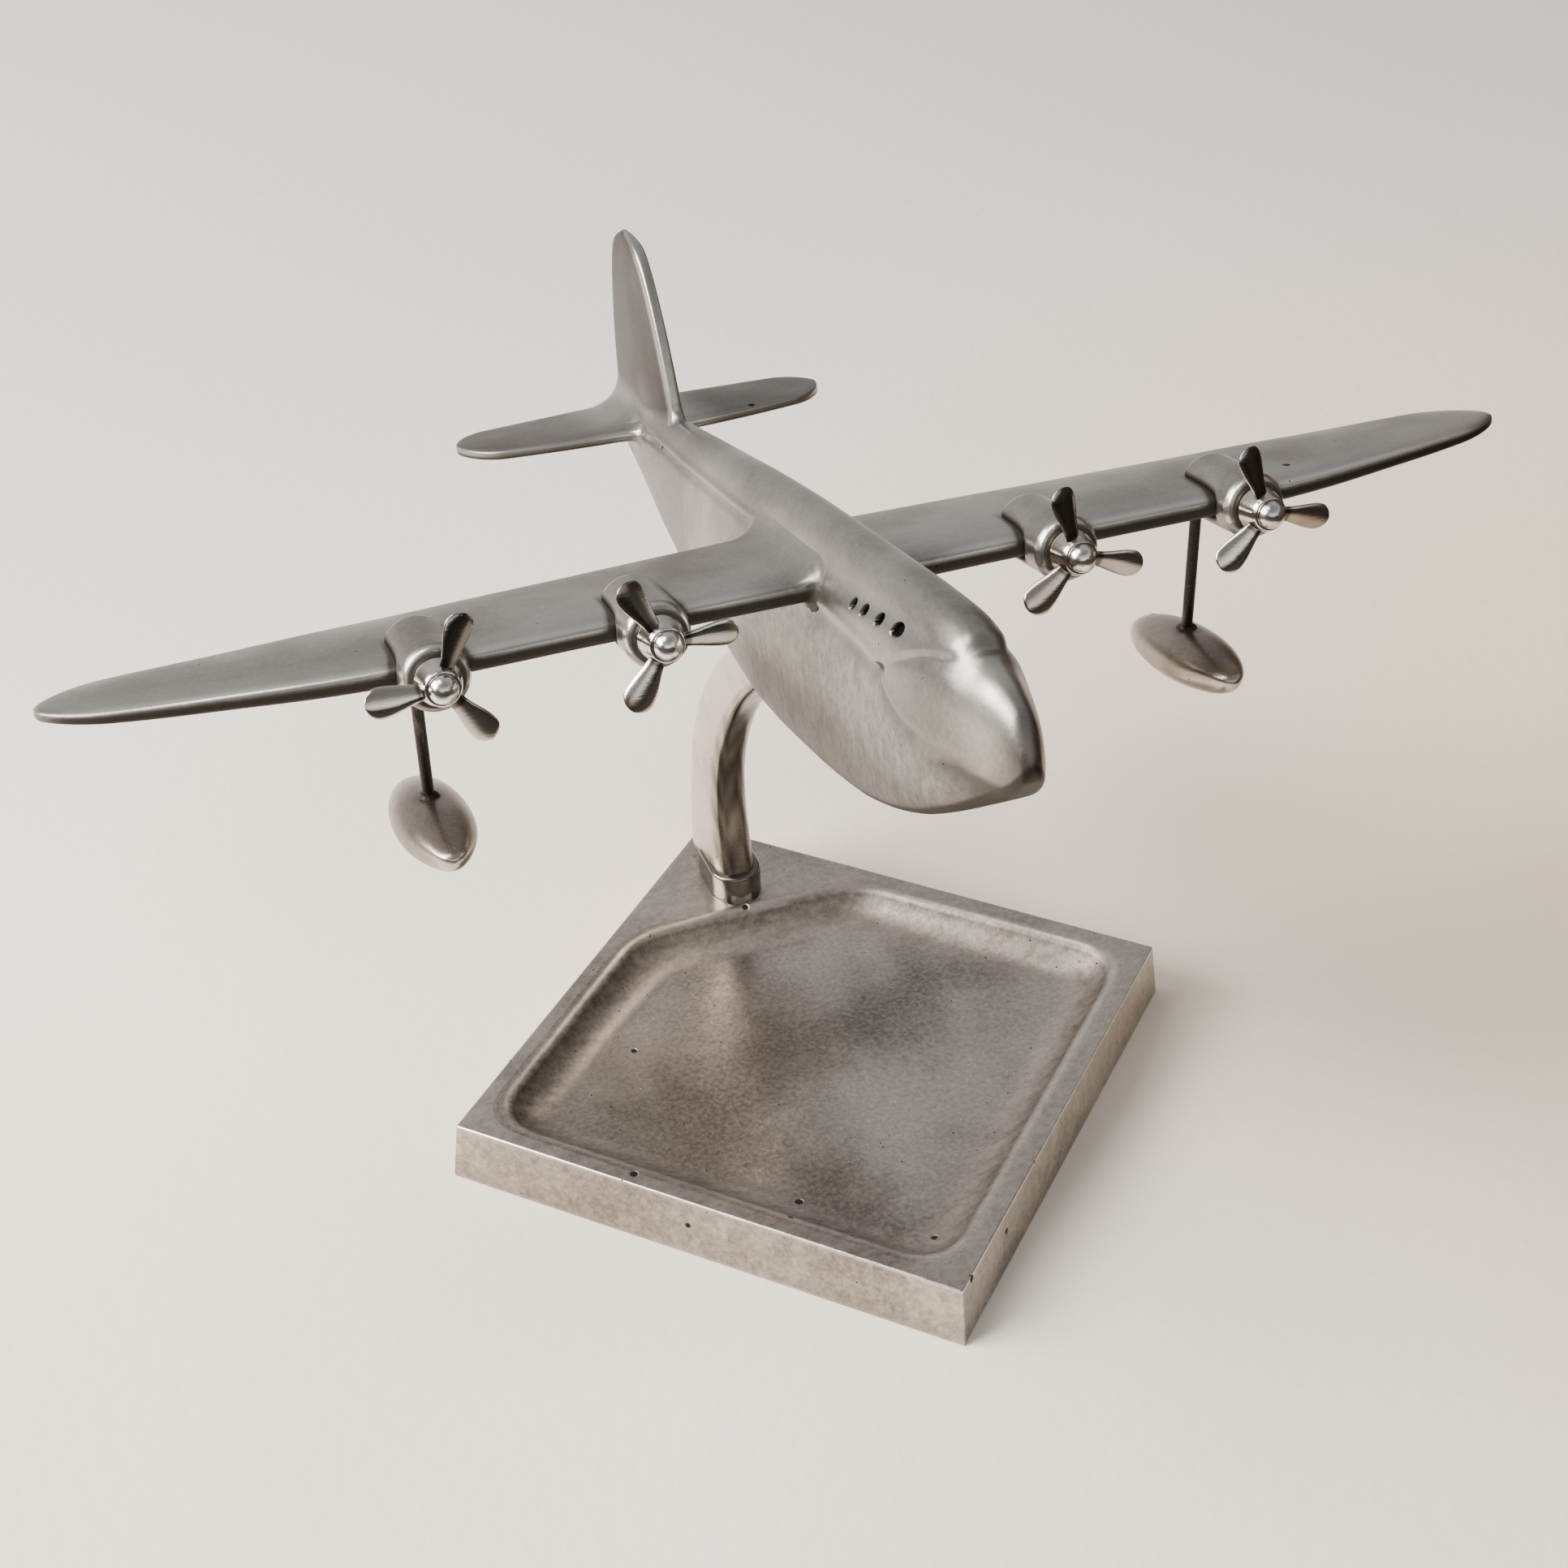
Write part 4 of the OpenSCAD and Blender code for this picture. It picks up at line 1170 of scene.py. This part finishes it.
def upright(side, profile, count, rough):
    """A profile of [radius, height] rows turned about a strut's upright axis, and roughened."""
    profile = np.asarray(profile, float)
    a = around(count)
    radius, height = profile[:, :1], profile[:, 1:]
    radius = radius * (1 + rough * (np.sin(3 * a + 2 * height) + 0.6 * np.sin(5 * a - height)))
    rings = np.stack([side * strut_out + radius * np.cos(a), radius * np.sin(a) - strut_forward,
                      height + 0 * a], -1)
    return skin(rings)


def float_skin(side):
    """Ellipse sections along the float, narrowed below towards a keel at the front."""
    u = (1 - np.cos(np.linspace(0.02, math.pi - 0.02, 90)))[:, None] / 2
    s = 2 * u - 1
    body = round_end(s, 0.0004)
    front = smooth((0.35 - u) / 0.35)
    a = around(96)
    across = float_width / 2 * body * np.cos(a) * (1 - 0.18 * front * (1 - np.sin(a)) / 2)
    along = s * float_length / 2 + 0 * a
    up = float_height / 2 * body * np.sin(a) * (1 - 0.15 * front * np.sin(a))
    y = along * math.cos(pitch) + up * math.sin(pitch) - strut_forward - float_forward
    z = up * math.cos(pitch) - along * math.sin(pitch) + float_middle
    rings = np.stack([across + side * strut_out, y, z], -1)
    near = np.hypot(rings[:, :, 0] - side * strut_out, y + strut_forward)
    # A painted highlight at the nose, and painted shade round the rod over the top of the float.
    worn_and_highlit = 0.5 * bell(u - 0.03, 0.05)
    return skin(rings, wear=worn_and_highlit, grime=0.8 * bell(near, 3.0) * (np.sin(a) > 0))


def blackened_steel(name):
    """Dark oxidised steel with bare and rusty flecks."""
    shader = Shader(bpy.data.materials.new(name))
    patches = shader.step(shader.noise(shader.place((1.0, 1.0, 0.3)), 420.0, 4.0, 0.6), 0.52, 0.72)
    fine = shader.noise(shader.place(), 1500.0, 3.0)
    colour = shader.blend(patches, (0.028, 0.025, 0.022), (0.11, 0.08, 0.06))
    colour = shader.blend(shader.step(fine, 0.6, 0.75, 0.0, 0.16), colour, (0.4, 0.37, 0.33))
    return shader.finish(colour, 0.32 + 0.3 * fine, fine + patches, 0.00006, Metallic=0.85)


strut_metal = blackened_steel("strut_metal")
float_metal = cast_alloy("float_metal", (0.42, 0.35, 0.292), (0.2, 0.168, 0.14), 0.31, 0.9, 0.3)
for side, word in ((-1, "starboard"), (1, "port")):
    foot = float_middle + 1.0
    rod = [[strut_radius - 0.05, foot], [strut_radius, foot + 0.2]]
    rod += [[strut_radius, z] for z in np.linspace(foot + 1, strut_top - 0.3, 24)]
    rod.append([strut_radius - 0.2, strut_top])
    piece("steel_strut_" + word, [upright(side, rod, 32, 0.008)], strut_metal, fixed_body,
          ["strut_" + word])
    bottom = float_middle + float_height / 2 - 0.5
    bead = [[1.2, bottom - 0.3], [2.0, bottom - 0.2], [2.1, bottom + 0.2], [2.05, bottom + 0.6],
            [1.8, bottom + 1.0], [1.45, bottom + 1.35], [1.15, bottom + 1.6]]
    piece("solder_collar_" + word, [upright(side, bead, 40, 0.05)], strut_metal, fixed_body,
          ["strut_collar_" + word], 60.0)
    piece("cast_float_" + word, [float_skin(side)], float_metal, fixed_body, ["float_" + word],
          60.0)

# Floor, light and camera
# A plain pale cloth, warmer to the right, painted dark as shade well in front of the object and
# well to its right, a large soft window on the left, a small soft light above, a room that is
# bright in front and dull behind, and a camera at the photograph's viewing angle.

floor_mesh = bpy.data.meshes.new("floor")
reach = 4.0
floor_mesh.from_pydata([(-reach, -reach, 0), (reach, -reach, 0), (reach, reach, 0),
                        (-reach, reach, 0)], [], [(0, 1, 2, 3)])
floor = added("floor", floor_mesh)
cloth = Shader(bpy.data.materials.new("pale_cloth"))
across, back = [cloth.axis(cloth.place(), number) for number in (0, 1)]
tone = cloth.step(cloth.noise(cloth.place(), 3.0, 4.0), 0.3, 0.7)
weave = cloth.noise(cloth.place(), 240.0, 3.0)
near = cloth.blend(tone, (0.93, 0.81, 0.7), (0.97, 0.9, 0.81))
near = cloth.blend(cloth.step(across, 0.0, 0.3), near, (0.96, 0.77, 0.58))
lit = cloth.blend(cloth.step(back, 0.0, 0.5), near, (0.76, 0.72, 0.71))
# Painted shade: the cloth turns nearly black in front of the object and to its right.
before = 1 - cloth.step(-0.35 * across - 0.94 * back, 0.16, 0.3)
right = 1 - cloth.step(0.83 * across - 0.55 * back, 0.19, 0.32)
shade = cloth.blend(before * right, (0.025, 0.019, 0.015), lit)
floor_mesh.materials.append(cloth.finish(shade, 0.85 + 0.05 * weave, weave, 0.0002, Metallic=0.0))


def soft_light(name, place, target, width, height, watts, colour):
    """A rectangular area light at a place, turned to face a target."""
    lamp = bpy.data.lights.new(name, "AREA")
    lamp.shape = "RECTANGLE"
    lamp.size = width
    lamp.size_y = height
    lamp.energy = watts
    lamp.color = colour
    back = np.array(place, float) - target
    turn = math.atan2(back[0], -back[1])
    tilt = math.atan2(math.hypot(back[0], back[1]), back[2])
    added(name, lamp).matrix_world = (Matrix.Translation(place) @ Matrix.Rotation(turn, 4, "Z")
                                      @ Matrix.Rotation(tilt, 4, "X"))


middle_of_model = np.array([0.0, 0.0, 0.1])
soft_light("window", (-1.25, 0.2, 0.95), middle_of_model, 1.3, 0.8, 66.0, (1.0, 0.98, 0.94))
soft_light("ceiling", (-0.6, 0.1, 1.35), middle_of_model, 0.6, 0.6, 11.0, (1.0, 0.97, 0.92))

room = Shader(bpy.data.worlds.new("room"))
across, back, up = [room.axis(room.node("ShaderNodeTexCoord"), number) for number in range(3)]
behind = room.node("ShaderNodeValToRGB", {"stops": [
    (0.0, (0.4, 0.39, 0.38)), (0.14, (0.34, 0.33, 0.325)), (0.34, (0.24, 0.24, 0.25)),
    (0.62, (0.22, 0.22, 0.23)), (0.85, (0.22, 0.22, 0.22))]}, {0: up})
before = room.node("ShaderNodeValToRGB", {"stops": [
    (0.0, (0.009, 0.008, 0.007)), (0.17, (0.022, 0.02, 0.018)), (0.27, (0.85, 0.85, 0.8)),
    (0.45, (0.66, 0.66, 0.62)), (0.64, (0.17, 0.17, 0.17)), (0.85, (0.13, 0.13, 0.13))]},
    {0: up})
far = 0.6 * (1 - room.step(across, -0.05, 0.35)) * (1 - room.step(up, 0.7, 0.85))
behind = room.blend(far, behind, (0.42, 0.41, 0.4))
colour = room.blend(room.step(back, -0.35, 0.35), before, behind)
dim = room.step(across * across, 0.12, 0.5) * (1 - room.step(up, 0.35, 0.65))
colour = room.blend(dim, colour, (0.07, 0.05, 0.036))
sky = room.node("ShaderNodeBackground", {}, {"Color": colour, "Strength": 2.2})
room.tree.links.new(sky.socket, room.tree.nodes.new("ShaderNodeOutputWorld").inputs[0])
bpy.context.scene.world = room.owner

camera_place = (-0.14179, -0.39953, 0.38876)
camera_azimuth = math.radians(-18.762)
camera_elevation = math.radians(35.906)
camera_roll = math.radians(-1.643)
# The focal length and the picture's drop are in pixels of the photograph's frame.
frame_width = 1932
focal_length = 3168.77
picture_drop = 2
sensor_width = 36.0
camera = added("camera", bpy.data.cameras.new("camera"))
camera.data.sensor_width = sensor_width
camera.data.lens = sensor_width * (focal_length / frame_width)
camera.data.shift_y = -picture_drop / frame_width
camera.data.clip_start = 0.01
camera.matrix_world = (Matrix.Translation(camera_place)
                       @ Matrix.Rotation(camera_azimuth, 4, "Z")
                       @ Matrix.Rotation(math.pi / 2 - camera_elevation, 4, "X")
                       @ Matrix.Rotation(camera_roll, 4, "Z"))
bpy.context.scene.camera = camera
